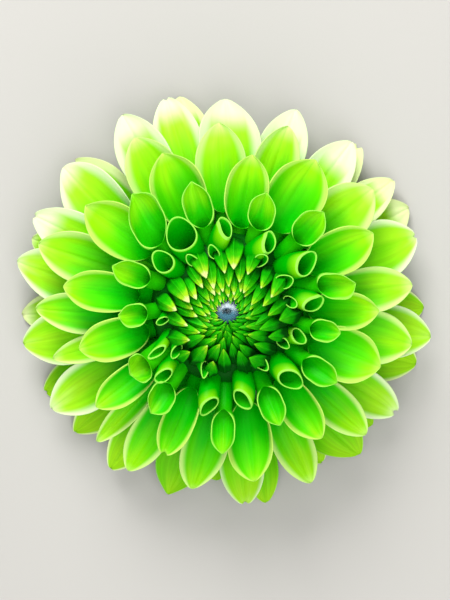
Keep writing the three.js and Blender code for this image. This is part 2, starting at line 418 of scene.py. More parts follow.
        towards_it = edge if self.blushes else ripeness
        nearing = {"Value": towards_it, "From Min": self.underside_from, "From Max": 0.96}
        far = add(tree, "ShaderNodeMapRange", nearing).outputs[0]
        under = {0: far, 6: linear(self.throat), 7: linear(self.underside)}
        outside = add(tree, "ShaderNodeMix", under, data_type="RGBA").outputs[2]
        lower = add(tree, "ShaderNodeMix", {0: pale, 6: outside, 7: margin}, data_type="RGBA").outputs[2]

        skin = add(tree, "ShaderNodeMix", {0: above, 6: lower, 7: upper}, data_type="RGBA").outputs[2]
        relief = {"Strength": 0.35 * self.veins, "Distance": 0.25 * MM, "Height": veins}
        ridges = add(tree, "ShaderNodeBump", relief).outputs[0]
        surface = add(
            tree,
            "ShaderNodeBsdfPrincipled",
            {
                "Base Color": skin,
                "Roughness": self.roughness,
                "IOR": 1.42,
                "Specular IOR Level": 0.1,
                "Normal": ridges,
            },
        ).outputs[0]
        through = add(tree, "ShaderNodeBsdfTranslucent", {"Color": skin, "Normal": ridges}).outputs[0]
        sheet = add(tree, "ShaderNodeMixShader", {0: self.glow, 1: surface, 2: through}).outputs[0]
        add(tree, "ShaderNodeOutputMaterial", {"Surface": sheet})
        return made


# A living ray floret is smooth and waxy: it has a soft sheen and faint veins, and light shows through it.
QUILL_PETAL = PetalFinish(
    "young dahlia petal, rolled",
    throat="#01b201",
    steps=((0.6, 0.84, "#02be02"), (0.84, 1.0, "#24cc04")),
    margin="#9cf054",
    margin_from=0.94,
    tip_from=0.999,
    underside="#88dc06",
    underside_from=0.3,
    blushes=True,
)
INNER_PETAL = PetalFinish(
    "inner dahlia petal, cupped",
    throat="#01b601",
    steps=((0.4, 0.62, "#04bc02"), (0.6, 0.84, "#2ccc04"), (0.82, 1.0, "#84de0c")),
    margin="#a8f258",
    margin_from=0.8,
    tip_from=0.965,
    underside="#40d004",
    underside_from=0.56,
    ripening_and_painted_light=0.14,
)
MIDDLE_PETAL = PetalFinish(
    "middle dahlia petal, spoon shaped",
    throat="#01b601",
    steps=((0.44, 0.6, "#10cc02"), (0.58, 0.8, "#54dc03"), (0.76, 0.98, "#98e40a")),
    margin="#ccf46c",
    margin_from=0.77,
    tip_from=0.93,
    ripening_and_painted_light=0.2,
    veins=0.32,
    underside="#5cd408",
    underside_from=0.5,
    bleach_and_painted_light=0.03,
    widens=0.2,
)
WIDE_PETAL = PetalFinish(
    "broad dahlia petal",
    throat="#04b003",
    steps=((0.36, 0.54, "#20d003"), (0.51, 0.71, "#62de04"), (0.68, 0.88, "#97e50c"), (0.87, 1.0, "#ade930")),
    margin="#d8f890",
    margin_from=0.68,
    tip_from=0.92,
    ripening_and_painted_light=0.2,
    veins=0.32,
    underside="#80dc0c",
    underside_from=0.42,
    bleach_and_painted_light=0.04,
    widens=0.16,
)
OUTER_PETAL = PetalFinish(
    "outer dahlia petal",
    throat="#10b403",
    steps=((0.42, 0.66, "#80e406"), (0.64, 0.86, "#a8ea20"), (0.84, 1.0, "#c4f260")),
    margin="#ebfbc8",
    margin_from=0.66,
    tip_from=0.9,
    underside="#98e01c",
    bleach_and_painted_light=0.2,
    ripening_and_painted_light=0.2,
    veins=0.35,
    widens=0.1,
)
BACK_PETAL = PetalFinish(
    "old dahlia petal at the back of the bloom",
    throat="#2cb404",
    steps=((0.36, 0.62, "#70d806"), (0.62, 0.92, "#a4e61c")),
    margin="#ebf9b4",
    margin_from=0.8,
    tip_from=0.94,
    underside="#84d018",
    bleach_and_painted_light=0.26,
    ripening_and_painted_light=0.3,
)
# Painted shade: the closed florets are painted dark at their base and underneath, where they lie in the shade
# of one another.
CLOSED_PETAL = PetalFinish(
    "closed dahlia floret",
    throat="#04500a",
    steps=((0.2, 0.45, "#10a004"), (0.5, 0.72, "#34b806"), (0.74, 0.98, "#9cd41c")),
    margin="#d8ee8c",
    margin_from=1.2,
    tip_from=0.93,
    underside="#0a5804",
    bleach_and_painted_light=0.14,
    ripening_and_painted_light=0.4,
    glow=0.06,
    roughness=0.4,
    veins=0.9,
)
BRACT_SKIN = PetalFinish(
    "dahlia bract, fleshy green leaf",
    throat="#4c9428",
    steps=((0.3, 0.8, "#62a83a"),),
    margin="#8cc458",
    margin_from=0.86,
    tip_from=0.95,
    underside="#70b048",
    glow=0.08,
    roughness=0.5,
    veins=0.7,
)
STEM_SKIN = PetalFinish(
    "dahlia stem, fluted and hollow",
    throat="#6a9c3c",
    steps=((0.0, 1.0, "#7cac48"),),
    margin="#8cb858",
    margin_from=0.98,
    tip_from=0.999,
    underside="#7cac48",
    glow=0.0,
    roughness=0.55,
    veins=0.8,
)


# ---- The midline and the blade of a floret ----


@dataclass(frozen=True)
class Midline:
    """The line a blade follows from its claw to its tip, in the upright plane at one azimuth."""

    azimuth: float
    base: tuple[float, float]  # radius and height
    tip: tuple[float, float]
    slopes: tuple[float, float]  # of the blade at its base and its tip, in degrees

    def follow(self, v: np.ndarray) -> tuple[np.ndarray, np.ndarray]:
        """Walk along the line.

        Args:
            v: How far along, from 0 to 1.

        Returns:
            The radius and height of each place, and the direction there.
        """
        base, tip = np.array(self.base), np.array(self.tip)
        reach = np.hypot(*(tip - base)) * 0.34
        rise, fall = np.radians(self.slopes)
        second = base + reach * np.array([np.cos(rise), np.sin(rise)])
        third = tip - reach * np.array([np.cos(fall), np.sin(fall)])
        t = v[:, None]
        places = (1 - t) ** 3 * base + 3 * (1 - t) ** 2 * t * second
        places = places + 3 * (1 - t) * t**2 * third + t**3 * tip
        ways = 3 * (1 - t) ** 2 * (second - base) + 6 * (1 - t) * t * (third - second)
        ways = ways + 3 * t**2 * (tip - third)
        return places, ways / np.linalg.norm(ways, axis=1)[:, None]

    def lift(self, flat: np.ndarray) -> np.ndarray:
        """Turn radius and height, in the last axis, into points beside the bloom's axis."""
        out = np.array([math.cos(self.azimuth), math.sin(self.azimuth), 0.0])
        return flat[..., :1] * out + flat[..., 1:] * np.array([0.0, 0.0, 1.0])

    def side(self) -> np.ndarray:
        """Give the level direction across the blade, towards higher azimuths."""
        return np.array([-math.sin(self.azimuth), math.cos(self.azimuth), 0.0])


ACROSS = np.array([0, 0.05, 0.12, 0.22, 0.34, 0.46, 0.58, 0.69, 0.79, 0.87, 0.93, 0.97, 1.0])
TUBE_ROWS = 11
SPOON_ROWS = 27


@dataclass(frozen=True)
class Blade:
    """The shape of one floret's sheet: rolled into a tube low down, and a spoon from its mouth to its tip."""

    breadth: float
    widest: float = 0.53  # where between its mouth and its tip it is broadest
    opening: float = 0.42  # where along the blade the margins part
    spread: float = 66.0  # how far each half curls where the blade is broadest, in degrees
    hood: float = 50.0  # the same at the tip
    closed: float = 183.0  # the same in the tube
    claw: float = 1.9  # half the width of the sheet at its claw
    filling: float = 1.2  # higher keeps the tube slender for longer
    parting: float = 0.55  # lower spreads the margins sooner past their mouth
    mouth_width: float = 0.85  # the sheet's width where the margins part, as a share of its greatest width
    point: float = 0.86  # lower is a rounder tip
    tip_half: float = 0.3
    notch: float = 0.0
    roll: float = 0.0  # how far the mouth is turned towards lower azimuths, in degrees
    swing: float = 0.0  # how far the tip swings sideways towards higher azimuths
    thickness: float = 0.5
    crease: float = 0.32
    wave: float = 0.3
    lip: float = 14.0  # how far the margin flares out again, in degrees
    flatness: float = 1.5  # higher keeps the middle flatter and the margins more curled
    seed: float = 0.0

    def turning(self, curl: np.ndarray, opened: np.ndarray) -> np.ndarray:
        """Work out how far the sheet has turned from level at each place across one half.

        Args:
            curl: How far the half turns in all, in degrees.
            opened: How far the tube has opened, 0 to 1.

        Returns:
            The angles in radians, a row for each place along the blade.
        """
        power = blend(1.0, self.flatness, opened)[:, None]
        flare = self.lip * (opened**3)[:, None]
        return np.radians(curl[:, None] * ACROSS**power - flare * smooth(ACROSS, 0.82, 1.0))

    def sheet(self, v: np.ndarray) -> tuple[np.ndarray, ...]:
        """Work out the section across the blade at each place along it.

        Args:
            v: How far along the blade, from 0 to 1.

        Returns:
            Across and upward positions of the sheet's middle, the slope there and the sheet's half width,
            each with one row for each place, and the share across that the columns stand for.
        """
        u = np.concatenate([-ACROSS[:0:-1], ACROSS])
        widest = blend(self.opening, 1.0, self.widest)
        opened = np.sin(np.pi / 2 * np.clip((v - self.opening) / (widest - self.opening), 0, 1))
        opened = opened**self.parting
        curl = blend(self.closed, self.spread, opened)
        curl = np.where(v < widest, curl, blend(self.spread, self.hood, smooth(v, widest, 1)))

        turn = self.turning(curl, opened)
        out = np.cumsum((np.cos(turn[:, :-1]) + np.cos(turn[:, 1:])) / 2 * np.diff(ACROSS), axis=1)
        up = np.cumsum((np.sin(turn[:, :-1]) + np.sin(turn[:, 1:])) / 2 * np.diff(ACROSS), axis=1)
        full = self.breadth / 2 / np.interp(widest, v, out.max(axis=1))
        mouth = full * self.mouth_width
        growing = blend(self.claw, mouth, np.sin(np.pi / 2 * np.clip(v / self.opening, 0, 1)) ** self.filling)
        growing = np.where(v < self.opening, growing, blend(mouth, full, smooth(v, self.opening, widest)))
        past = np.clip((v - widest) / (1 - widest), 0, 1)
        closing = self.tip_half + (full - self.tip_half) * (1 - past**2) ** self.point
        half = np.where(v < widest, growing, closing)[:, None]
        middle = np.zeros((len(v), 1))
        x = np.concatenate([-(out * half)[:, ::-1], middle, out * half], axis=1)
        y = np.concatenate([(up * half)[:, ::-1], middle, up * half], axis=1)
        slope = np.concatenate([-turn[:, :0:-1], turn], axis=1)

        open_part = smooth(v, self.opening, widest)[:, None]
        groove = self.crease * open_part
        y = y - groove * np.exp(-((u * half / 0.4) ** 2))
        for place in (-0.42 + 0.06 * wobble(self.seed, 1), 0.4 + 0.06 * wobble(self.seed, 2)):
            y = y - 0.5 * groove * np.exp(-(((u - place) * half / 0.5) ** 2))
        ripple = np.sin(2 * np.pi * (1.3 * v + 0.5 * wobble(self.seed, 3)))[:, None] * np.sign(u)
        ripple += 0.6 * np.sin(2 * np.pi * (2.6 * v + 0.5 * wobble(self.seed, 4)))[:, None]
        y = y + self.wave * ripple * np.abs(u) ** 3 * open_part
        return x, y, slope, half, u

    def suited(self, floret: "Floret", breadth: float, swing: float, seed: float) -> "Blade":
        """Give the shape of one floret of this form.

        Args:
            floret: The floret.
            breadth: How broad it really is.
            swing: How far its tip swings sideways.
            seed: What sets its small unevenness apart from the others'.

        Returns:
            The shape.
        """
        return replace(
            self,
            breadth=breadth,
            roll=floret.roll + 4 * wobble(seed),
            notch=floret.notch,
            swing=swing,
            tip_half=self.tip_half + 0.9 * floret.notch,
            point=floret.point or self.point,
            spread=floret.spread or self.spread,
            seed=seed,
        )

    def tube_radius(self) -> float:
        """Give the radius of the tube where it opens, near enough."""
        return self.breadth * self.mouth_width * blend(0.2, 0.27, float(smooth(self.spread, 60, 100)))

    def build(self, line: Midline, tone: float) -> Shell:
        """Lay the blade along a midline.

        Args:
            line: The midline.
            tone: How light the floret is beside its neighbours, 0 to 1.

        Returns:
            A closed shell.
        """
        tube = np.linspace(0, self.opening, TUBE_ROWS, endpoint=False)
        spoon = np.linspace(0, 1, SPOON_ROWS)
        spoon = blend(spoon, smooth(spoon, 0, 1), 0.45)  # closer together at both ends
        v = np.concatenate([tube, blend(self.opening, 1.0, spoon)])
        x, y, slope, half, u = self.sheet(v)
        thinner = (1 - 0.4 * np.abs(u) ** 4) * blend(1.0, 0.55, smooth(v, 0.75, 1))[:, None]
        thick = self.thickness / 2 * thinner
        over_x, over_y = x - np.sin(slope) * thick, y + np.cos(slope) * thick
        under_x, under_y = x + np.sin(slope) * thick, y - np.cos(slope) * thick
        ring_x = np.concatenate([over_x, under_x[:, ::-1]], axis=1)
        ring_y = np.concatenate([over_y, under_y[:, ::-1]], axis=1)

        # A section turns about the middle of the tube, and past the mouth about a place nearer to its midrib.
        pivot = half / np.radians(self.closed) * (1 - smooth(v, self.opening, 1)[:, None] * 0.6)
        roll = np.radians(self.roll) * smooth(v, 0.25, 0.95)[:, None]
        turned_x = ring_x * np.cos(roll) - (ring_y - pivot) * np.sin(roll)
        turned_y = ring_x * np.sin(roll) + (ring_y - pivot) * np.cos(roll) + pivot
        turned_x = turned_x + self.swing * v[:, None] ** 2.2

        flat, ways = line.follow(v)
        normals = np.stack([-ways[:, 1], ways[:, 0]], axis=1)
        back = self.notch * np.exp(-((u * half / 0.8) ** 2)) * smooth(v, 0.9, 1)[:, None]
        back = np.concatenate([back, back[:, ::-1]], axis=1)
        points = (
            line.lift(flat)[:, None, :]
            + line.side() * turned_x[..., None]
            + line.lift(normals)[:, None, :] * turned_y[..., None]
            - line.lift(ways)[:, None, :] * back[..., None]
        )
        rows, around = ring_x.shape
        # Margins that meet in the closed tube count as part of the way in, so that only free ones look pale.
        parted = blend(0.6, 1.0, smooth(v, self.opening - 0.02, self.opening + 0.06))[:, None]
        across = parted * np.concatenate([u, u[::-1]])
        above = np.tile(np.repeat([1.0, 0.0], len(u)), (rows, 1))
        along = np.repeat(v[:, None], around, axis=1)
        shell = Shell(
            points.reshape(-1, 3) + np.array([AXIS.x, AXIS.y, 0.0]),
            tube_faces(rows, around),
            np.stack([across, along, above], axis=-1).reshape(-1, 3),
            np.full(rows * around, tone),
        )
        return shell.outward()


@dataclass(frozen=True)
class Quill:
    """The shape of a young floret: a tube that swells and closes over again, with a mouth beside its end."""

    breadth: float
    opening: float = 0.76  # where along it the inner corner of its mouth is
    belly: float = 0.84  # where it is broadest
    end: float = 0.8  # its breadth at its tip, as a share of its breadth at its broadest
    claw: float = 0.8  # its radius where it grows
    hollow: float = 0.4  # how far down its inside is open
    roll: float = 0.0  # how far the mouth is turned towards lower azimuths, in degrees
    swing: float = 0.0  # how far the tip swings sideways towards higher azimuths
    thickness: float = 0.3
    slit: float = 1.0  # higher keeps the mouth to a narrower part of the tube's girth
    blush: float = 5.0  # how far from its mouth the tube turns lime with its closeness, more so on its upper side as painted light
    blush_and_painted_light: float = 0.3  # how strongly, short of the pale rim, on its upper side; its lower side takes about a third, and the difference is painted light
    seed: float = 0.0
    around: int = 44

    def suited(self, floret: "Floret", breadth: float, swing: float, seed: float) -> "Quill":
        """Give the shape of one floret of this form.

        Args:
            floret: The floret.
            breadth: How broad it really is.
            swing: How far its tip swings sideways.
            seed: What sets its small unevenness apart from the others'.

        Returns:
            The shape.
        """
        return replace(
            self,
            breadth=breadth,
            end=self.end - 0.007 * floret.tuck,
            slit=1 + 0.02 * floret.tuck,
            blush_and_painted_light=min(1.0, self.blush_and_painted_light + 0.02 * floret.tuck),
            roll=floret.roll + 4 * wobble(seed),
            swing=swing,
            seed=seed,
        )

    def tube_radius(self) -> float:
        """Give the radius of the tube where it opens, near enough."""
        return self.breadth / 2

    def radius(self, v: np.ndarray) -> np.ndarray:
        """Give the radius of the tube at each place along it."""
        swelling = np.sin(np.pi / 2 * np.clip(v / self.belly, 0, 1)) ** 2.2
        past = np.clip((v - self.belly) / (1 - self.belly), 0, 1)
        return blend(self.claw, self.breadth / 2, swelling) * np.sqrt(1 - (1 - self.end**2) * past**2)

    def build(self, line: Midline, tone: float) -> Shell:
        """Lay the quill along a midline, which runs along its outer side.

        Args:
            line: The midline.
            tone: How light the floret is beside its neighbours, 0 to 1.

        Returns:
            A closed shell: its outside up to the rim, and its inside down to the floor of its hollow.
        """
        around = np.linspace(0, 2 * np.pi, self.around, endpoint=False)
        roll = np.radians(self.roll)
        # The tube ends sooner on one side, so that its mouth is slanted. That side faces up, and there the
        # lime towards the mouth is stronger: painted light.
        ends = blend(1.0, self.opening, ((1 - np.cos(around - roll)) / 2) ** self.slit)
        beside = blend(0.35, 1.0, smooth(np.cos(around - np.pi + 0.35 * roll), 0.1, 0.85))
        length = float(np.hypot(line.tip[0] - line.base[0], line.tip[1] - line.base[1]))
        outside = np.concatenate([np.linspace(0, 0.92, 22), [0.95, 0.97, 0.985, 0.995, 1.0]])
        inside = np.concatenate([[1.0, 0.995, 0.985, 0.97, 0.94], np.linspace(0.9, self.hollow, 12)])
        skins = [(share, 0.0) for share in outside] + [(share, self.thickness) for share in inside]
        rows, blade = [], []
        for number, (share, sunk) in enumerate(skins):
            v = share * ends
            flat, ways = line.follow(v)
            normals = np.stack([-ways[:, 1], ways[:, 0]], axis=1)
            size = self.radius(v)
            ripple = 0.05 * size * np.sin(3 * around + 5 * wobble(self.seed, 3)) * smooth(share, 0.5, 1)
            wall = size + ripple - min(sunk, 0.5)
            across = wall * np.sin(around) + self.swing * v**2.2
            upward = size - wall * np.cos(around)
            beside_line = line.side() * across[:, None] + line.lift(normals) * upward[:, None]
            rows.append(line.lift(flat) + beside_line)
            edge = np.clip(1 - (1 - share) * ends * length / self.blush, 0, 1)
            # Short of the pale rim the lime is partly the floret's own colour and partly painted light,
            # stronger on its upper side.
            edge = edge * blend(self.blush_and_painted_light * beside, 1.0, smooth(edge, 0.84, 0.92))
            above = float(number >= len(outside))
            blade.append(np.stack([edge, v, np.full_like(v, above)], axis=-1))
        shell = Shell(
            np.concatenate(rows) + np.array([AXIS.x, AXIS.y, 0.0]),
            tube_faces(len(skins), self.around),
            np.concatenate(blade),
            np.full(len(skins) * self.around, tone),
        )
        return shell.outward()


def true_place(azimuth: float, reach: float, height: float) -> tuple[float, float]:
    """Find where a tip really is from where it shows.

    Args:
        azimuth: Where round the eye it shows, in degrees.
        reach: How far from the eye it shows.
        height: How high it stands.

    Returns:
        Its azimuth in radians and its radius from the bloom's axis.
    """
    nearer = 1 - (height - MEASURED_AT) / VIEW_DISTANCE
    angle = math.radians(azimuth)
    x = reach * nearer * math.cos(angle)
    y = reach * nearer * math.sin(angle) - VIEW_LEAN * (EYE_HEIGHT - height)
    return math.atan2(y, x), math.hypot(x, y)


class Ring(Enum):
    """The rings of florets, from the bud outwards."""

    BUDDING = "budding"
    QUILLS = "quills"
    INNER = "inner"
    MIDDLE = "middle"
    WIDE = "wide"
    OUTER = "outer"
    BACK = "back"


@dataclass(frozen=True)
class Floret:
    """One floret: where its tip shows, and what sets it apart from the others of its ring."""

    azimuth: float
    reach: float
    breadth: float
    lift: float = 0.0  # of its tip over the others' tips
    roll: float = 0.0  # how far its mouth is turned towards lower azimuths, in degrees
    tuck: float = 0.0  # how far a quill's end closes over its mouth
    mouth: float = 0.0  # how far out its margins part, where that isn't as in the others
    notch: float = 0.0  # how deep its tip is nicked
    turn: float = 0.0  # how far round from its tip it grows, in degrees
    spread: float = 0.0  # how far each half curls where it is broadest, where that isn't as in the others
    point: float = 0.0  # how pointed its tip is, where that isn't as in the others


@dataclass(frozen=True)
class FloretRing:
    """A ring of like florets."""

    which: Ring
    base: tuple[float, float]  # radius and height
    tip_height: float
    slopes: tuple[float, float]  # of each blade at its base and its tip, in degrees
    form: Blade | Quill
    finish: PetalFinish
    florets: tuple[Floret, ...]

    def shell(self, floret: Floret) -> Shell:
        """Build one floret.

        Args:
            floret: Which one.

        Returns:
            Its shell.
        """
        seed = floret.azimuth + floret.reach
        height = self.tip_height + floret.lift
        angle, radius = true_place(floret.azimuth, floret.reach, height)
        turn = math.radians(floret.turn)
        line = Midline(angle + turn, self.base, (radius * math.cos(turn), height), self.slopes)
        breadth = floret.breadth * (1 - (height - MEASURED_AT) / VIEW_DISTANCE)
        form = self.form.suited(floret, breadth, -radius * math.sin(turn), seed)
        if floret.mouth:
            form = replace(form, opening=self.opening_at(line, floret.mouth, form.tube_radius()))
        # The tone is partly painted light: florets towards the top of the face, nearer the window lamp, are
        # painted paler. The rest is chance.
        tone = 0.5 + PAINTED_LIGHT_ABOVE * math.sin(angle) + PALER_BY_CHANCE * wobble(seed, 5)
        return form.build(line, tone)

    def opening_at(self, line: Midline, mouth: float, tube: float) -> float:
        """Find how far along its midline a floret opens, for its margins to part at a given reach.

        Args:
            line: The floret's midline, which runs along the outside of its tube.
            mouth: The reach at which the margins part.
            tube: The radius of the tube there.

        Returns:
            How far along the midline, from 0 to 1.
        """
        v = np.linspace(0.3, 0.95, 66)
        flat, ways = line.follow(v)
        return min(0.88, float(np.interp(mouth, flat[:, 0] - 2 * tube * ways[:, 1], v)))


FLORET_RINGS = (
    FloretRing(
        Ring.BUDDING,
        base=(13.8, 25.0),
        tip_height=44.0,
        slopes=(66.0, 72.0),
        form=Quill(0, opening=0.84, claw=0.6, thickness=0.26, blush=3.0),
        finish=QUILL_PETAL,
        florets=(
            Floret(8, 20.6, 3.2, lift=-1.0, roll=-60, turn=10),
            Floret(28, 21.4, 4.4, roll=-20, turn=6),
            Floret(57, 20.2, 3.8, roll=-10, turn=8),
            Floret(104, 20.4, 3.8, roll=-20, turn=-14),
            Floret(125, 20.6, 3.8, roll=-20, turn=-14),
            Floret(189, 21.2, 3.0, lift=-1.2, roll=-20, turn=-12),
            Floret(219, 21.2, 3.4, roll=-10, turn=-16),
            Floret(250, 20.6, 3.4, lift=-0.6, roll=-10, turn=-22),
            Floret(304, 20.6, 4.0, roll=-10, turn=-16),
            Floret(330, 20.8, 3.4, lift=-0.6, roll=25, turn=8),
        ),
    ),
    FloretRing(
        Ring.QUILLS,
        base=(8.4, 19.0),
        tip_height=41.4,
        slopes=(58.0, 46.0),
        form=Quill(0),
        finish=QUILL_PETAL,
        florets=(
            Floret(7, 28.6, 6.8, lift=-1.5, roll=60, tuck=36, mouth=23.4, turn=14),
            Floret(33.4, 31.0, 8.0, roll=50, tuck=34, mouth=23.1, turn=8),
            Floret(61, 27.2, 6.8, roll=65, tuck=40, mouth=23.2, turn=18),
            Floret(93, 28.2, 6.8, lift=-1, roll=65, tuck=40, mouth=23.8, turn=22),
            Floret(120.5, 31.6, 9.4, mouth=20.6, turn=2),
            Floret(141.5, 27.7, 6.4, roll=-10, mouth=19.4),
            Floret(209.8, 26.8, 4.0, lift=0.4, roll=-20, tuck=30, mouth=24.4, turn=-28),
            Floret(224.5, 29.4, 5.0, lift=-0.5, roll=-40, tuck=30, mouth=25.2, turn=-8),
            Floret(257.6, 31.4, 6.4, roll=-60, tuck=40, mouth=24.4, turn=-2),
            Floret(281, 29.4, 6.8, roll=60, tuck=40, mouth=23.2, turn=4),
            Floret(314, 30.8, 7.2, roll=24, tuck=44, mouth=22.4, turn=-2),
            Floret(340.5, 24.8, 5.2, lift=-2, roll=-60, tuck=20, mouth=21.4, turn=-8),
        ),
    ),
    FloretRing(
        Ring.INNER,
        base=(7.5, 18.5),
        tip_height=40.0,
        slopes=(56.0, 28.0),
        form=Blade(
            0,
            widest=0.5,
            opening=0.6,
            spread=96.0,
            hood=58.0,
            claw=2.4,
            filling=0.6,
            mouth_width=1.3,
            parting=0.8,
            point=0.86,
            tip_half=0.4,
            lip=4.0,
            flatness=1.1,
        ),
        finish=INNER_PETAL,
        florets=(
            Floret(12.8, 37.9, 8.2, mouth=25.2, turn=12),
            Floret(46.3, 40.0, 8.4, mouth=26.7, turn=-2),
            Floret(72, 36.3, 7.8, lift=1, mouth=23.8, turn=-6),
            Floret(105.3, 39.1, 8.2, lift=1, mouth=23.7),
            Floret(128.7, 43.8, 11.4, lift=-1, mouth=25.6, turn=14),
            Floret(158, 35.8, 7.3, lift=1, mouth=22.8),
            Floret(182, 31.5, 6.6, lift=-0.5, mouth=21.9, turn=-5),
            Floret(212.5, 33.6, 8.4, lift=-1, mouth=27.0, spread=104, turn=-4),
            Floret(232.8, 36.9, 7.8, lift=-0.6, mouth=25.6, turn=-5),
            Floret(268, 41.5, 6.8, lift=-1, mouth=27.6),
            Floret(294.7, 36.4, 7.2, lift=1, mouth=23.2, turn=2),
            Floret(327, 37.8, 7.2, mouth=24.9),
            Floret(349.4, 33.2, 6.2, lift=1, mouth=23.0),
        ),
    ),
    FloretRing(
        Ring.MIDDLE,
        base=(9.3, 17.3),
        tip_height=33.0,
        slopes=(44.0, 13.0),
        form=Blade(
            0,
            widest=0.52,
            opening=0.5,
            spread=80.0,
            hood=54.0,
            claw=2.2,
            mouth_width=1.05,
            point=0.8,
            lip=8.0,
            flatness=1.3,
        ),
        finish=MIDDLE_PETAL,
        florets=(
            Floret(0.5, 43.9, 11.3, lift=1.6),
            Floret(28.5, 47.9, 13.2),
            Floret(60, 50.8, 16.8, lift=-1.6),
            Floret(81, 46.1, 12.4, lift=2.2),
            Floret(112, 49.6, 15.4),
            Floret(143, 51.3, 14.4, lift=-1, spread=68),
            Floret(171, 48.1, 11.8),
            Floret(194, 44.4, 12.0, lift=1),
            Floret(216, 47.3, 10.0),
            Floret(246, 45.8, 9.6, notch=0.9),
            Floret(279, 50.4, 13.2, turn=3),
            Floret(306.5, 46.1, 11.0, lift=1),
            Floret(340, 47.3, 15.6, lift=-1.6),
        ),
    ),
    FloretRing(
        Ring.WIDE,
        base=(10.7, 16.1),
        tip_height=22.0,
        slopes=(29.0, -3.0),
        form=Blade(
            0,
            widest=0.53,
            opening=0.42,
            spread=64.0,
            hood=46.0,
            claw=2.2,
            point=0.8,
            lip=12.0,
            flatness=1.7,
        ),
        finish=WIDE_PETAL,
        florets=(
            Floret(8.5, 54.2, 13.2, lift=1.6),
            Floret(40.5, 55.1, 16.6),
            Floret(72, 56.6, 13.2),
            Floret(92.5, 54.8, 14.6, lift=1),
            Floret(118, 57.1, 15.6),
            Floret(160, 58.2, 14.4),
            Floret(179, 55.7, 12.0, lift=1.6, turn=5),
            Floret(195, 52.5, 8.0),
            Floret(225, 53.9, 7.0, lift=1.8),
            Floret(238, 55.1, 11.4, lift=-1.4),
            Floret(258.8, 53.2, 13.2, turn=5),
            Floret(296, 56.0, 11.6),
            Floret(318.5, 54.2, 11.4, lift=1),
            Floret(350, 54.5, 15.6, lift=-1.4),
        ),
    ),
    FloretRing(
        Ring.OUTER,
        base=(11.9, 14.8),
        tip_height=10.5,
        slopes=(14.0, -20.0),
        form=Blade(
            0,
            widest=0.56,
            opening=0.36,
            spread=50.0,
            hood=38.0,
            claw=2.2,
            point=0.82,
            lip=14.0,
            flatness=1.9,
        ),
        finish=OUTER_PETAL,
        florets=(
            Floret(22, 58.9, 17.4, notch=0.5),
            Floret(54, 61.0, 13.8),
            Floret(71.5, 61.8, 14.0),
            Floret(90.5, 61.6, 18.0, lift=1.5, turn=-4),
            Floret(106, 64.3, 13.8, lift=-1.4, notch=0.6),
            Floret(118, 64.6, 15.0, lift=1.8),
            Floret(138.5, 63.4, 17.4, lift=-1.4, turn=5),
            Floret(153.5, 62.6, 13.6, lift=2.4, notch=0.5),
            Floret(166.5, 62.8, 15.4, lift=-1.6, turn=5),
            Floret(189, 60.2, 16.0),
            Floret(209, 58.8, 14.6, turn=-2),
            Floret(275.3, 57.0, 13.0, notch=0.8),
            Floret(329, 57.4, 13.6, notch=0.8),
            Floret(353, 59.7, 15.4),
        ),
    ),
    FloretRing(
        Ring.BACK,
        base=(12.4, 12.8),
        tip_height=0.55,
        slopes=(4.0, -26.0),
        form=Blade(
            0,
            widest=0.58,
            opening=0.32,
            spread=42.0,
            hood=30.0,
            claw=2.2,
            point=0.84,
            lip=12.0,
            flatness=1.9,
        ),
        finish=BACK_PETAL,
        florets=(
            Floret(1, 57.2, 14.0),
            Floret(29.8, 60.6, 15.5, lift=1.4),
            Floret(38.6, 61.3, 12.0, lift=4),
            Floret(51.8, 61.2, 12.6, lift=4.5, notch=0.8),
            Floret(102.6, 63.8, 13.4, lift=3),
            Floret(135.5, 62.2, 14.6, lift=3, notch=0.6),
            Floret(159.5, 60.6, 14.0, lift=3),
            Floret(181, 59.7, 14.0),
            Floret(204, 58.2, 13.0, notch=0.5),
            Floret(218.5, 57.0, 12.0),
            Floret(233.5, 57.6, 12.0, lift=6),
            Floret(252, 56.8, 15.0, lift=5, turn=3, point=1.15),
            Floret(266, 50.0, 12.0),
            Floret(281.5, 57.6, 11.0),
            Floret(302, 52.4, 12.0, lift=5),
            Floret(312.5, 57.2, 15.0, lift=6, turn=-4),
            Floret(321.5, 54.0, 12.6),
            Floret(344.5, 57.2, 15.4, turn=-3),
        ),
    ),
)


@dataclass
class Florets:
    """Every floret with an open mouth, from the small ones at the bud's rim to the back of the bloom."""

    rings: tuple[FloretRing, ...] = FLORET_RINGS

    def build(self) -> None:
        """Build each ring: open florets one by one, and the others as one piece for each ring."""
        for ring in self.rings:
            material = ring.finish.material()
            shells = [ring.shell(floret) for floret in ring.florets]
            name = ring.which.value
            if ring.which in (Ring.BUDDING, Ring.QUILLS):
                seat(Shell.joined(shells).piece(f"{name}_florets", material), "young_floret", "bud")
            elif ring.which is Ring.BACK:
                seat(Shell.joined(shells).piece("back_petals", material), "floret", "back_florets")
            else:
                for i, shell in enumerate(shells, start=1):
                    seat(shell.piece(f"{name}_petal_{i:02d}", material), "floret", f"{name}_floret_{i:02d}")


# ---- Growing many copies of one piece ----


def growth_tree(name: str, sizes: dict[str, float]) -> NodeTree:
    """Start a Geometry Nodes tree.

    Args:
        name: Its name.
        sizes: The value of each of its inputs, by name. A whole number gets an input for whole numbers.

    Returns:
        The tree, with its inputs and its output and no nodes.
    """
    tree = bpy.data.node_groups.new(name, "GeometryNodeTree")
    for size, value in sizes.items():
        kind = "NodeSocketInt" if isinstance(value, int) else "NodeSocketFloat"
        tree.interface.new_socket(name=size, in_out="INPUT", socket_type=kind)
    tree.interface.new_socket(name="Geometry", in_out="OUTPUT", socket_type="NodeSocketGeometry")
    return tree


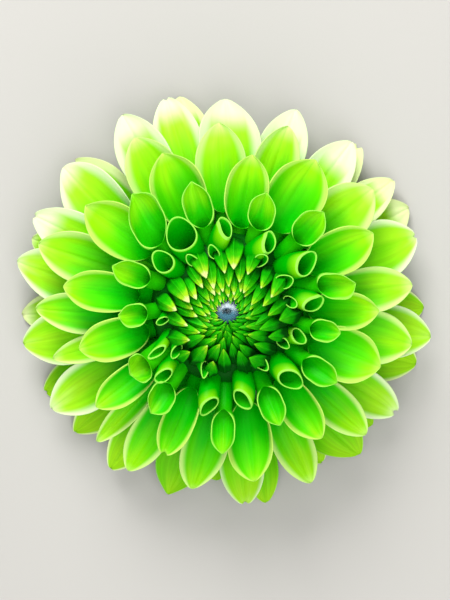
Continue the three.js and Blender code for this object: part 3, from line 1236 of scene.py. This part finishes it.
def spiral(
    tree: NodeTree, count: NodeSocket, radius: NodeSocket, height: NodeSocket
) -> tuple[NodeSocket, NodeSocket, NodeSocket]:
    """Add points round the axis, each on by the golden angle from the one before.

    Args:
        tree: The tree that they go in.
        count: How many there are.
        radius: How far from the axis each one is.
        height: How high each one is.

    Returns:
        The angle and the place of each, and the points.
    """
    index = add(tree, "GeometryNodeInputIndex").outputs[0]
    angle = add(tree, "ShaderNodeMath", {0: index, 1: -GOLDEN_ANGLE}, operation="MULTIPLY").outputs[0]
    beside = add(tree, "ShaderNodeCombineXYZ", {0: radius, 2: height}).outputs[0]
    turned = {"Vector": beside, "Angle": angle}
    place = add(tree, "ShaderNodeVectorRotate", turned, rotation_type="Z_AXIS").outputs[0]
    points = add(tree, "GeometryNodePoints", {0: count, 1: place}).outputs[0]
    return angle, place, points


def lay(
    tree: NodeTree, template: Object, copies: dict[str, NodeSocket], tone: NodeSocket, material: Material
) -> None:
    """Lay copies of a template on points as real geometry, and end the tree with them.

    Args:
        tree: The tree.
        template: What is copied.
        copies: The points, and how each copy is turned and scaled, by the names of those inputs.
        tone: The tone of each copy.
        material: What they are made of.
    """
    one = add(tree, "GeometryNodeObjectInfo", {0: template}, transform_space="ORIGINAL").outputs["Geometry"]
    laid = add(tree, "GeometryNodeInstanceOnPoints", {**copies, "Instance": one}).outputs[0]
    toned = add(
        tree,
        "GeometryNodeStoreNamedAttribute",
        {"Geometry": laid, "Name": "tone", "Value": tone},
        data_type="FLOAT",
        domain="INSTANCE",
    ).outputs[0]
    real = add(tree, "GeometryNodeRealizeInstances", {0: toned}).outputs[0]
    dressed = add(tree, "GeometryNodeSetMaterial", {"Geometry": real, "Material": material}).outputs[0]
    add(tree, "NodeGroupOutput", {0: dressed})


def grown(name: str, tree: NodeTree, sizes: dict[str, float]) -> Object:
    """Run a Geometry Nodes tree and keep its result as a plain mesh, moved to the bloom's axis.

    Args:
        name: The new object's name.
        tree: The tree, which ends in real geometry with its material.
        sizes: The value of each of its inputs, by name.

    Returns:
        The object, with no modifier.
    """
    carrier = stand(name, bpy.data.meshes.new(name))
    grower = carrier.modifiers.new("growth", "NODES")
    grower.node_group = tree
    for item in tree.interface.items_tree:
        if item.item_type == "SOCKET" and item.in_out == "INPUT":
            grower[item.identifier] = sizes[item.name]
    graph = bpy.context.evaluated_depsgraph_get()
    result = carrier.evaluated_get(graph)
    mesh = bpy.data.meshes.new_from_object(result, preserve_all_data_layers=True, depsgraph=graph)
    carrier.modifiers.remove(grower)
    carrier.data = mesh
    places = np.empty(len(mesh.vertices) * 3, np.float32)
    mesh.vertices.foreach_get("co", places)
    places = places.reshape(-1, 3) + np.array([AXIS.x, AXIS.y, 0.0], np.float32) * MM
    mesh.vertices.foreach_set("co", places.ravel())
    mesh.polygons.foreach_set("use_smooth", [True] * len(mesh.polygons))
    mesh.update()
    return carrier


# ---- The closed bud ----


@dataclass
class Bud:
    """The closed florets in the middle, which overlap inwards like scales, in spirals, over a heart painted
    dark as the shade between them.
    """

    rim_radius: float = 21.2
    inner_radius: float = 5.6
    top: float = 42.4
    drop: float = 5.8  # how much lower the rim is than the top
    roundness: float = 3.4
    growth: float = 0.0098  # how much larger each floret is than the next one inwards
    length_share: float = 0.62  # a floret's length, as a share of its distance from the axis
    swirl: float = 0.3  # how far the florets at either side point downwards of the middle, in radians
    lift: float = 0.2  # how far each tip stands up from the dome, in radians
    youth: float = 0.13  # how much darker the florets are further in, where they are younger
    painted_light_share: float = 0.42  # how much paler they are painted on the side of the window lamp, as painted light
    # By chance each is turned about its three axes, in radians, and has its own length, breadth and tone.
    askew_least: tuple[float, float, float] = (-0.22, -0.12, -0.16)
    askew_most: tuple[float, float, float] = (0.22, 0.1, 0.16)
    own_least: tuple[float, float, float] = (0.9, 0.9, 0.26)
    own_most: tuple[float, float, float] = (1.14, 1.12, 0.66)
    seed: int = 3
    # The floret that is repeated is a unit long, and these are shares of its length.
    scale_half: float = 0.19  # half its breadth
    scale_arch: float = 0.13  # how high its back arches
    scale_keel: float = 0.07  # how high the ridge along its back stands
    scale_thickness: float = 0.07
    heart_rings: tuple[float, ...] = (3.0, 5.0, 8.0, 11.0, 13.5, 16.0, 18.5, 20.5)  # under the florets
    heart_middle: tuple[tuple[float, float], ...] = ((0.05, 40.6), (2.6, 40.8))  # radius and height
    heart_base: tuple[tuple[float, float], ...] = (
        (21.5, 30.5),
        (17.6, 27.0),
        (7.0, 24.0),
        (5.0, 20.4),
        (0.05, 20.2),
    )

    def sizes(self) -> dict[str, float]:
        """Give the value of each input of the tree, in metres where it is a length."""
        return {
            "Florets": round(math.log(self.rim_radius / self.inner_radius) / self.growth),
            "Rim Radius": self.rim_radius * MM,
            "Growth": self.growth,
            "Top": self.top * MM,
            "Drop": self.drop * MM,
            "Roundness": self.roundness,
            "Lift": self.lift,
            "Length Share": self.length_share,
            "Swirl": self.swirl,
            "Youth": self.youth,
            "Painted Light": self.painted_light_share,
            "Seed": self.seed,
        }

    def height(self, radius: float) -> float:
        """Give the height of the dome at a radius."""
        return self.top - self.drop * (radius / self.rim_radius) ** self.roundness

    def scale(self, material: Material) -> Object:
        """Build the one closed floret that is repeated, a unit long, pointing along +X with its back up.

        Args:
            material: What it is made of.

        Returns:
            The floret.
        """
        v = np.linspace(0, 1, 13)
        u = np.concatenate([-ACROSS[:0:-2], ACROSS[::2]])
        half = self.scale_half * (1 - v**2.2) ** 0.95 * blend(0.75, 1.0, smooth(v, 0, 0.3)) + 0.006
        half = half[:, None]
        arch = self.scale_arch * np.sin(np.pi * 0.72 * v + 0.2)[:, None] - 0.05
        keel = self.scale_keel * np.exp(-((u / 0.11) ** 2)) - 0.04 * np.exp(-(((np.abs(u) - 0.5) / 0.2) ** 2))
        rise = arch - 0.6 * half * np.abs(u) ** 1.7 + keel * (half / 0.29)
        over = np.stack([np.repeat(v[:, None], len(u), 1), half * u, rise], axis=-1)
        down = np.array([0, 0, self.scale_thickness])
        under = over - down * (1 - 0.7 * smooth(v, 0.7, 1))[:, None, None]
        ring = np.concatenate([over, under[:, ::-1]], axis=1)
        rows, around = ring.shape[:2]
        blade = np.stack(
            [
                np.tile(np.concatenate([u, u[::-1]]), (rows, 1)),
                np.repeat(v[:, None], around, axis=1),
                np.tile(np.repeat([1.0, 0.0], len(u)), (rows, 1)),
            ],
            axis=-1,
        )
        same_tone = np.full(rows * around, 0.5)
        shell = Shell(ring.reshape(-1, 3) / MM, tube_faces(rows, around), blade.reshape(-1, 3), same_tone)
        floret = shell.outward().piece("one_closed_floret", material)
        floret.data.attributes.remove(floret.data.attributes["tone"])  # each copy gets its own
        return floret

    def tree(self, scale: Object, material: Material) -> NodeTree:
        """Build the tree that lays the closed florets over the dome.

        Each next floret goes on by the golden angle and a little further in, so that thirteen spirals run one
        way and twenty-one the other.

        Args:
            scale: The floret to repeat.
            material: What it is made of.

        Returns:
            The tree.
        """
        tree = growth_tree("closed florets in spirals", self.sizes())
        given = add(tree, "NodeGroupInput").outputs
        rim, top, drop, roundness = (given[name] for name in ("Rim Radius", "Top", "Drop", "Roundness"))
        index = add(tree, "GeometryNodeInputIndex").outputs[0]
        inwards = add(tree, "ShaderNodeMath", {0: index, 1: given["Growth"]}, operation="MULTIPLY").outputs[0]
        shrunk = add(tree, "ShaderNodeMath", {0: inwards}, operation="EXPONENT").outputs[0]
        radius = add(tree, "ShaderNodeMath", {0: rim, 1: shrunk}, operation="DIVIDE").outputs[0]
        rounder = add(tree, "ShaderNodeMath", {0: shrunk, 1: roundness}, operation="POWER").outputs[0]
        fallen = add(tree, "ShaderNodeMath", {0: drop, 1: rounder}, operation="DIVIDE").outputs[0]
        height = add(tree, "ShaderNodeMath", {0: top, 1: fallen}, operation="SUBTRACT").outputs[0]
        falling = add(tree, "ShaderNodeMath", {0: fallen, 1: roundness}, operation="MULTIPLY").outputs[0]
        steep = add(tree, "ShaderNodeMath", {0: falling, 1: radius}, operation="DIVIDE").outputs[0]
        slope = add(tree, "ShaderNodeMath", {0: steep}, operation="ARCTANGENT").outputs[0]
        angle, _, points = spiral(tree, given["Florets"], radius, height)

        raised = add(tree, "ShaderNodeMath", {0: slope, 1: given["Lift"]}, operation="ADD").outputs[0]
        pitch = add(tree, "ShaderNodeMath", {0: raised, 1: -1.0}, operation="MULTIPLY").outputs[0]
        sideways = add(tree, "ShaderNodeMath", {0: angle}, operation="COSINE").outputs[0]
        swirled = {0: sideways, 1: given["Swirl"], 2: angle}
        yaw = add(tree, "ShaderNodeMath", swirled, operation="MULTIPLY_ADD").outputs[0]
        inward = add(tree, "ShaderNodeMath", {0: yaw, 1: math.pi}, operation="ADD").outputs[0]
        straight = add(tree, "ShaderNodeCombineXYZ", {1: pitch, 2: inward}).outputs[0]
        chance = {0: self.askew_least, 1: self.askew_most, "Seed": given["Seed"]}
        askew = add(tree, "FunctionNodeRandomValue", chance, data_type="FLOAT_VECTOR").outputs[0]
        turn = add(tree, "ShaderNodeVectorMath", {0: straight, 1: askew}, operation="ADD").outputs[0]

        next_seed = add(tree, "ShaderNodeMath", {0: given["Seed"], 1: 1.0}, operation="ADD").outputs[0]
        chance = {0: self.own_least, 1: self.own_most, "Seed": next_seed}
        own = add(tree, "FunctionNodeRandomValue", chance, data_type="FLOAT_VECTOR").outputs[0]
        longer, wider, light = add(tree, "ShaderNodeSeparateXYZ", {0: own}).outputs
        usual = {0: radius, 1: given["Length Share"]}
        length = add(tree, "ShaderNodeMath", usual, operation="MULTIPLY").outputs[0]
        long = add(tree, "ShaderNodeMath", {0: length, 1: longer}, operation="MULTIPLY").outputs[0]
        wide = add(tree, "ShaderNodeMath", {0: long, 1: wider}, operation="MULTIPLY").outputs[0]
        size = add(tree, "ShaderNodeCombineXYZ", {0: long, 1: wide, 2: long}).outputs[0]

        # Painted light: the closed florets are painted paler on the side round the eye that faces the window
        # lamp.
        from_painted_light_side = add(tree, "ShaderNodeMath", {0: angle, 1: PAINTED_LIGHT_SIDE}, operation="SUBTRACT").outputs[0]
        closeness = add(tree, "ShaderNodeMath", {0: from_painted_light_side}, operation="COSINE").outputs[0]
        further_in = add(tree, "ShaderNodeMath", {0: shrunk, 1: 1.0}, operation="SUBTRACT").outputs[0]
        younger = {0: further_in, 1: given["Youth"]}
        darker = add(tree, "ShaderNodeMath", younger, operation="MULTIPLY").outputs[0]
        aged = add(tree, "ShaderNodeMath", {0: light, 1: darker}, operation="SUBTRACT").outputs[0]
        sided = {0: closeness, 1: given["Painted Light"], 2: aged}
        tone = add(tree, "ShaderNodeMath", sided, operation="MULTIPLY_ADD").outputs[0]
        lay(tree, scale, {"Points": points, "Rotation": turn, "Scale": size}, tone, material)
        return tree

    def heart(self, material: Material) -> Object:
        """Build the dome under the closed florets, painted dark as the shade that shows between them.

        Args:
            material: What it is made of.

        Returns:
            The dome, closed below.
        """
        under = tuple((r, self.height(r) - 0.7 - 0.07 * r) for r in self.heart_rings)
        radii, heights = np.array(self.heart_middle + under + self.heart_base).T
        angles = np.linspace(0, 2 * np.pi, 48, endpoint=False)
        points = np.stack(
            [
                np.outer(radii, np.cos(angles)) + AXIS.x,
                np.outer(radii, np.sin(angles)) + AXIS.y,
                np.repeat(heights[:, None], len(angles), 1),
            ],
            axis=-1,
        ).reshape(-1, 3)
        rows, around = len(radii), len(angles)
        blade = np.tile([0.0, 0.0, 1.0], (rows * around, 1))
        shell = Shell(points, tube_faces(rows, around), blade, np.full(rows * around, 0.3))
        return shell.outward().piece("bud_heart", material)

    def build(self) -> None:
        """Build the heart and the closed florets over it."""
        material = CLOSED_PETAL.material()
        seat(self.heart(material), "young_floret", "bud")
        scale = self.scale(material)
        piece = grown("closed_florets", self.tree(scale, material), self.sizes())
        bpy.data.objects.remove(scale)
        seat(piece, "young_floret", "bud")


# ---- The disc in the middle ----


@dataclass(frozen=True)
class DiscFinish:
    """The blue-grey bloom of the youngest buds in the middle: a dusty wax over dark green."""

    name: str = "dahlia disc, waxy bloom over dark buds"
    dark: str = "#081016"
    dusty: str = "#3c7486"
    pale: str = "#e8eef2"

    def material(self) -> Material:
        """Build the material.

        Returns:
            The material: dark in its pit, dusty outside and pale at the ends of its hairs.
        """
        made, tree = bare_material(self.name)
        place = add(tree, "ShaderNodeAttribute", attribute_name="blade").outputs["Vector"]
        tone = add(tree, "ShaderNodeAttribute", attribute_name="tone").outputs["Fac"]
        _, from_pit, whiteness = add(tree, "ShaderNodeSeparateXYZ", {0: place}).outputs
        # The wax lies in grains of about half a millimetre.
        where = add(tree, "ShaderNodeTexCoord").outputs["Object"]
        grains = add(tree, "ShaderNodeTexNoise", {"Vector": where, "Scale": 1600.0, "Detail": 2.0}).outputs[0]
        uneven = add(
            tree,
            "ShaderNodeMapRange",
            {"Value": grains, "From Min": 0.3, "From Max": 0.7, "To Min": -0.2, "To Max": 0.2},
        ).outputs[0]
        out = add(tree, "ShaderNodeMath", {0: from_pit, 1: uneven}, operation="ADD").outputs[0]
        share = add(tree, "ShaderNodeMapRange", {"Value": out, "From Min": 0.15, "From Max": 0.5}).outputs[0]
        wax = {0: share, 6: linear(self.dark), 7: linear(self.dusty)}
        body = add(tree, "ShaderNodeMix", wax, data_type="RGBA").outputs[2]
        white = add(tree, "ShaderNodeMath", {0: whiteness, 1: tone}, operation="MULTIPLY").outputs[0]
        ends = {0: white, 6: body, 7: linear(self.pale)}
        tipped = add(tree, "ShaderNodeMix", ends, data_type="RGBA").outputs[2]
        surface = add(
            tree,
            "ShaderNodeBsdfPrincipled",
            {"Base Color": tipped, "Roughness": 0.8, "Specular IOR Level": 0.2},
        ).outputs[0]
        add(tree, "ShaderNodeOutputMaterial", {"Surface": surface})
        return made


@dataclass
class Disc:
    """The small disc of buds in the middle of the bud, with a pit, and the short hairs that stand on it."""

    radius: float = 3.05
    top: float = 43.4
    floor: float = 41.2
    fall: float = 1.5  # how much lower its edge is than its top
    pit: float = 1.3
    pit_width: float = 1.05
    pit_flatness: float = 1.6  # how much wider its pit is than it is tall
    pit_place: tuple[float, float] = (-0.2, 0.3)  # the middle of its pit, from its own
    rings: int = 22
    buds_around: int = 21  # how many of its tiny buds a ring has
    bud_height: float = 0.1
    hairs: int = 420
    hair_length: float = 0.75
    hair_shares: tuple[float, float] = (0.55, 1.15)  # the shortest and the longest, as shares of that
    hair_spread: float = 0.97  # how far out they stand, as a share of its radius
    hair_sunk: float = 0.25  # how far their feet are below its top
    lean: float = 0.9  # of the hairs at its edge, in radians
    whitening: tuple[float, float] = (-0.8, 1.2)  # how far up its face the hairs turn from blue to white
    askew: tuple[float, float, float] = (0.0, 0.35, 0.6)  # how far they are turned by chance, in radians
    seed: int = 11

    def sizes(self) -> dict[str, float]:
        """Give the value of each input of the tree, in metres where it is a length."""
        return {
            "Hairs": self.hairs,
            "Radius": self.radius * self.hair_spread * MM,
            "Top": (self.top - self.hair_sunk) * MM,
            "Fall": self.fall * MM,
            "Length": self.hair_length * MM,
            "Lean": self.lean,
            "Seed": self.seed,
        }

    def from_pit(self, share: float, angle: float) -> float:
        """Give how far a place on the disc is from the middle of its pit, as a share of its radius."""
        x = share * math.cos(angle) - self.pit_place[0] / self.radius
        y = share * math.sin(angle) - self.pit_place[1] / self.radius
        return math.hypot(x, self.pit_flatness * y)

    def height(self, share: float, angle: float) -> float:
        """Give the height of the disc at a share of its radius and an angle."""
        sunk = math.exp(-((self.from_pit(share, angle) * self.radius / self.pit_width) ** 2))
        return self.top - self.fall * share**3 - self.pit * sunk

    def body(self, material: Material) -> Object:
        """Build the disc itself, its skin bumpy with tiny buds.

        Args:
            material: What it is made of.

        Returns:
            The disc.
        """
        shares = np.concatenate([np.linspace(0.01, 1, self.rings), [1.0, 0.01]])
        angles = np.linspace(0, 2 * np.pi, 64, endpoint=False)
        points, blade, tone = [], [], []
        for row, share in enumerate(shares):
            for angle in angles:
                bump = math.sin(self.buds_around * angle + 9 * share) * math.sin(34 * share)
                bump *= self.bud_height * math.sin(math.pi * share)
                height = self.height(share, angle) + bump if row < self.rings else self.floor
                radius = share * self.radius
                points.append((radius * math.cos(angle) + AXIS.x, radius * math.sin(angle) + AXIS.y, height))
                away = self.from_pit(share, angle)
                blade.append((0.0, away, 0.6 * float(smooth(away, 0.3, 0.6))))
                upwards = float(smooth(share * math.sin(angle), -0.1, 0.6))
                tone.append(upwards * (1 - float(smooth(share, 0.7, 1))))
        rows, around = len(shares), len(angles)
        shell = Shell(np.array(points), tube_faces(rows, around), np.array(blade), np.array(tone))
        return shell.outward().piece("disc_buds", material)

    def hair(self, material: Material) -> Object:
        """Build the one hair that is repeated, a unit long, standing along +Z.

        Args:
            material: What it is made of.

        Returns:
            The hair.
        """
        heights = (0.0, 0.5, 1.0)
        widths = (0.09, 0.075, 0.02)
        points = [
            (w * math.cos(a), w * math.sin(a), h)
            for h, w in zip(heights, widths)
            for a in (math.tau * i / 5 for i in range(5))
        ]
        blade = [(0.0, 0.8, 0.3 + 0.7 * h) for h in heights for _ in range(5)]
        shell = Shell(np.array(points) / MM, tube_faces(3, 5), np.array(blade), np.full(15, 0.5))
        hair = shell.outward().piece("one_hair", material)
        hair.data.attributes.remove(hair.data.attributes["tone"])  # each copy gets its own
        return hair

    def tree(self, hair: Object, material: Material) -> NodeTree:
        """Build the tree that stands the hairs on the disc, close together and leaning outwards.

        Args:
            hair: The hair to repeat.
            material: What it is made of.

        Returns:
            The tree.
        """
        tree = growth_tree("hairs on the disc", self.sizes())
        given = add(tree, "NodeGroupInput").outputs
        index = add(tree, "GeometryNodeInputIndex").outputs[0]
        count = add(tree, "ShaderNodeMath", {0: index, 1: 0.5}, operation="ADD").outputs[0]
        within = add(tree, "ShaderNodeMath", {0: count, 1: given["Hairs"]}, operation="DIVIDE").outputs[0]
        share = add(tree, "ShaderNodeMath", {0: within}, operation="SQRT").outputs[0]
        radius = add(tree, "ShaderNodeMath", {0: share, 1: given["Radius"]}, operation="MULTIPLY").outputs[0]
        cubed = add(tree, "ShaderNodeMath", {0: share, 1: 3.0}, operation="POWER").outputs[0]
        fallen = add(tree, "ShaderNodeMath", {0: cubed, 1: given["Fall"]}, operation="MULTIPLY").outputs[0]
        height = add(tree, "ShaderNodeMath", {0: given["Top"], 1: fallen}, operation="SUBTRACT").outputs[0]
        angle, place, points = spiral(tree, given["Hairs"], radius, height)

        lean = add(tree, "ShaderNodeMath", {0: share, 1: given["Lean"]}, operation="MULTIPLY").outputs[0]
        straight = add(tree, "ShaderNodeCombineXYZ", {1: lean, 2: angle}).outputs[0]
        least = tuple(-most for most in self.askew)
        chance = {0: least, 1: self.askew, "Seed": given["Seed"]}
        askew = add(tree, "FunctionNodeRandomValue", chance, data_type="FLOAT_VECTOR").outputs[0]
        turn = add(tree, "ShaderNodeVectorMath", {0: straight, 1: askew}, operation="ADD").outputs[0]
        next_seed = add(tree, "ShaderNodeMath", {0: given["Seed"], 1: 1.0}, operation="ADD").outputs[0]
        shortest, longest = self.hair_shares
        chance = {2: shortest, 3: longest, "Seed": next_seed}
        part = add(tree, "FunctionNodeRandomValue", chance, data_type="FLOAT").outputs[1]
        size = add(tree, "ShaderNodeMath", {0: given["Length"], 1: part}, operation="MULTIPLY").outputs[0]

        # Round the pit and on the upper side the hairs are white, and on the lower side dusty blue.
        up = add(tree, "ShaderNodeSeparateXYZ", {0: place}).outputs[1]
        low, high = self.whitening
        white = add(
            tree,
            "ShaderNodeMapRange",
            {"Value": up, "From Min": low * MM, "From Max": high * MM, "To Min": 0.12, "To Max": 1.0},
        ).outputs[0]
        lay(tree, hair, {"Points": points, "Rotation": turn, "Scale": size}, white, material)
        return tree

    def build(self) -> None:
        """Build the disc and its hairs."""
        material = DiscFinish().material()
        seat(self.body(material), "eye", "eye")
        hair = self.hair(material)
        piece = grown("disc_hairs", self.tree(hair, material), self.sizes())
        bpy.data.objects.remove(hair)
        seat(piece, "eye", "eye")


# ---- The back of the bloom ----


@dataclass(frozen=True)
class BractRing:
    """A ring of bracts, the green leaves under the florets."""

    name: str
    node: str
    count: int
    first: float
    base: tuple[float, float]
    tip: tuple[float, float]
    slopes: tuple[float, float]
    form: Blade

    def build(self, material: Material) -> None:
        """Build the ring as one piece.

        Args:
            material: What it is made of.
        """
        shells = []
        for i in range(self.count):
            angle = math.radians(self.first + 360 * i / self.count + 3 * wobble(i, 7))
            tip = (self.tip[0] + 0.6 * wobble(i, 8), self.tip[1])
            line = Midline(angle, self.base, tip, self.slopes)
            blade = replace(self.form, seed=i * 1.7 + self.count)
            shells.append(blade.build(line, 0.5 + 0.4 * wobble(i, 9)))
        seat(Shell.joined(shells).piece(self.name, material), "bract", self.node)


BRACT_RINGS = (
    BractRing(
        "outer_bract_leaves",
        "outer_bracts",
        count=5,
        first=20,
        base=(7.3, 8.2),
        tip=(18.5, 3.2),
        slopes=(4.0, -44.0),
        form=Blade(
            6.4,
            widest=0.5,
            opening=0.05,
            spread=30.0,
            hood=24.0,
            closed=36.0,
            claw=2.0,
            thickness=0.8,
            lip=0.0,
        ),
    ),
    BractRing(
        "inner_bract_leaves",
        "inner_bracts",
        count=8,
        first=0,
        base=(9.6, 9.8),
        tip=(22.5, 10.2),
        slopes=(22.0, -14.0),
        form=Blade(
            9.4,
            widest=0.55,
            opening=0.05,
            spread=34.0,
            hood=28.0,
            closed=40.0,
            claw=3.0,
            thickness=0.5,
            lip=0.0,
        ),
    ),
)


@dataclass
class Stem:
    """The stub of the stem, cut across, and the receptacle it widens into."""

    profile: tuple[tuple[float, float], ...] = (
        (0.05, 0.5),
        (1.0, 0.45),
        (1.5, 0.12),
        (2.5, 0.02),
        (2.86, 0.25),
        (2.85, 2.0),
        (2.8, 4.0),
        (2.95, 6.0),
        (3.4, 7.2),
        (5.4, 8.3),
        (8.1, 9.4),
        (10.3, 11.0),
        (11.3, 12.4),
        (11.4, 14.4),
        (10.3, 15.8),
        (8.9, 16.9),
        (7.1, 18.1),
        (5.2, 18.9),
        (2.6, 19.4),
        (0.05, 19.6),
    )
    around: int = 120
    flutes: int = 15
    flute_depth: float = 0.12

    def build(self) -> None:
        """Build the stem in one piece with the receptacle, fluted where it is round and thin."""
        points, blade = [], []
        for radius, height in self.profile:
            fluted = self.flute_depth * float(smooth(radius, 1.6, 2.7)) * (1 - float(smooth(height, 6, 10)))
            for i in range(self.around):
                angle = math.tau * i / self.around
                r = radius + fluted * math.cos(self.flutes * angle)
                points.append((r * math.cos(angle) + AXIS.x, r * math.sin(angle) + AXIS.y, height))
                blade.append((2 * i / self.around - 1, height / 20, 1.0))
        faces = tube_faces(len(self.profile), self.around)
        shell = Shell(np.array(points), faces, np.array(blade), np.full(len(points), 0.5))
        seat(shell.outward().piece("cut_stem", STEM_SKIN.material()), "stem", "stem")


@dataclass
class Back:
    """What carries the florets: the bracts and the stem."""

    bracts: tuple[BractRing, ...] = BRACT_RINGS

    def build(self) -> None:
        """Build the stem and both rings of bracts."""
        Stem().build()
        material = BRACT_SKIN.material()
        for ring in self.bracts:
            ring.build(material)


# ---- The studio ----


@dataclass(frozen=True)
class Lamp:
    """A soft square light that looks at the bloom."""

    name: str
    place_m: tuple[float, float, float]
    side_m: float
    watts: float

    def build(self, target: Vector) -> None:
        """Hang the light, turned to a target."""
        data = bpy.data.lights.new(self.name, "AREA")
        data.shape = "SQUARE"
        data.size = self.side_m
        data.energy = self.watts
        lamp = stand(self.name, data)
        lamp.location = self.place_m
        lamp.rotation_mode = "QUATERNION"
        lamp.rotation_quaternion = (target - lamp.location).to_track_quat("-Z", "Y")


@dataclass
class Studio:
    """The plain pale floor, the soft light and the camera."""

    lamps: tuple[Lamp, ...] = (
        Lamp("window", (-0.12, 0.55, 0.5), 0.4, 6.4),
        Lamp("overhead", (0.05, -0.1, 0.8), 0.7, 4.0),
        Lamp("reflector", (0.12, -0.5, 0.42), 0.5, 1.6),
    )
    lit_height_m: float = 0.02  # the height of the place on the axis that the lamps are turned to
    sky: str = "#ffffff"
    sky_strength: float = 0.35
    floor_colour: str = "#b2b0ab"
    floor_half_m: float = 3.0
    frame_height: float = 174.0  # what the picture takes in from top to bottom, at the height measured at
    centre_off_eye: tuple[float, float] = (-0.7, 3.46)  # the picture's middle from the eye, at its height

    def floor(self) -> None:
        """Lay the floor: matt pale paper."""
        half = self.floor_half_m
        corners = [(-half, -half, 0), (half, -half, 0), (half, half, 0), (-half, half, 0)]
        mesh = bpy.data.meshes.new("floor")
        mesh.from_pydata(corners, [], [(0, 1, 2, 3)])
        # The paper's fibres are about a millimetre long, and its tooth takes any shine off it.
        paper, tree = bare_material("matt pale paper")
        where = add(tree, "ShaderNodeTexCoord").outputs["Object"]
        fibres = add(tree, "ShaderNodeTexNoise", {"Vector": where, "Scale": 900.0, "Detail": 3.0}).outputs[0]
        relief = {"Strength": 0.05, "Distance": 0.2 * MM, "Height": fibres}
        tooth = add(tree, "ShaderNodeBump", relief).outputs[0]
        finish = {"Base Color": linear(self.floor_colour), "Roughness": 0.9, "Normal": tooth}
        surface = add(tree, "ShaderNodeBsdfPrincipled", finish).outputs[0]
        add(tree, "ShaderNodeOutputMaterial", {"Surface": surface})
        mesh.materials.append(paper)
        stand("floor", mesh)

    def camera(self) -> None:
        """Set up the camera, which looks down on the bloom from a little above its face."""
        lean = math.atan(VIEW_LEAN)
        off_x, off_y = self.centre_off_eye
        target = Vector((AXIS.x + off_x, AXIS.y + off_y, EYE_HEIGHT)) * MM
        towards = Vector((0, math.sin(lean), math.cos(lean)))
        data = bpy.data.cameras.new("camera")
        data.sensor_fit = "AUTO"
        data.sensor_width = 36.0
        data.lens = data.sensor_width * VIEW_DISTANCE / self.frame_height
        camera = stand("camera", data)
        camera.location = target + towards * (VIEW_DISTANCE - EYE_HEIGHT + MEASURED_AT) * MM
        camera.rotation_euler = (-lean, 0, 0)
        data.clip_start, data.clip_end = 0.01, 10.0
        bpy.context.scene.camera = camera

    def build(self) -> None:
        """Set up the studio round the bloom."""
        self.floor()
        self.camera()
        for lamp in self.lamps:
            lamp.build(Vector((0, 0, self.lit_height_m)))
        world = bpy.data.worlds.new("pale room")
        world.use_nodes = True
        tree = world.node_tree
        tree.nodes.clear()
        glow = add(tree, "ShaderNodeBackground", {"Color": linear(self.sky), "Strength": self.sky_strength})
        add(tree, "ShaderNodeOutputWorld", {"Surface": glow.outputs[0]})
        bpy.context.scene.world = world
        bpy.context.scene.view_settings.view_transform = "Standard"


def main() -> None:
    """Build the bloom piece by piece, then the studio."""
    logging.basicConfig(level=logging.INFO, format="%(name)s: %(message)s")
    for part in (Back(), Florets(), Bud(), Disc(), Studio()):
        LOG.info("building %s", type(part).__name__)
        part.build()


if __name__ == "__main__":
    main()
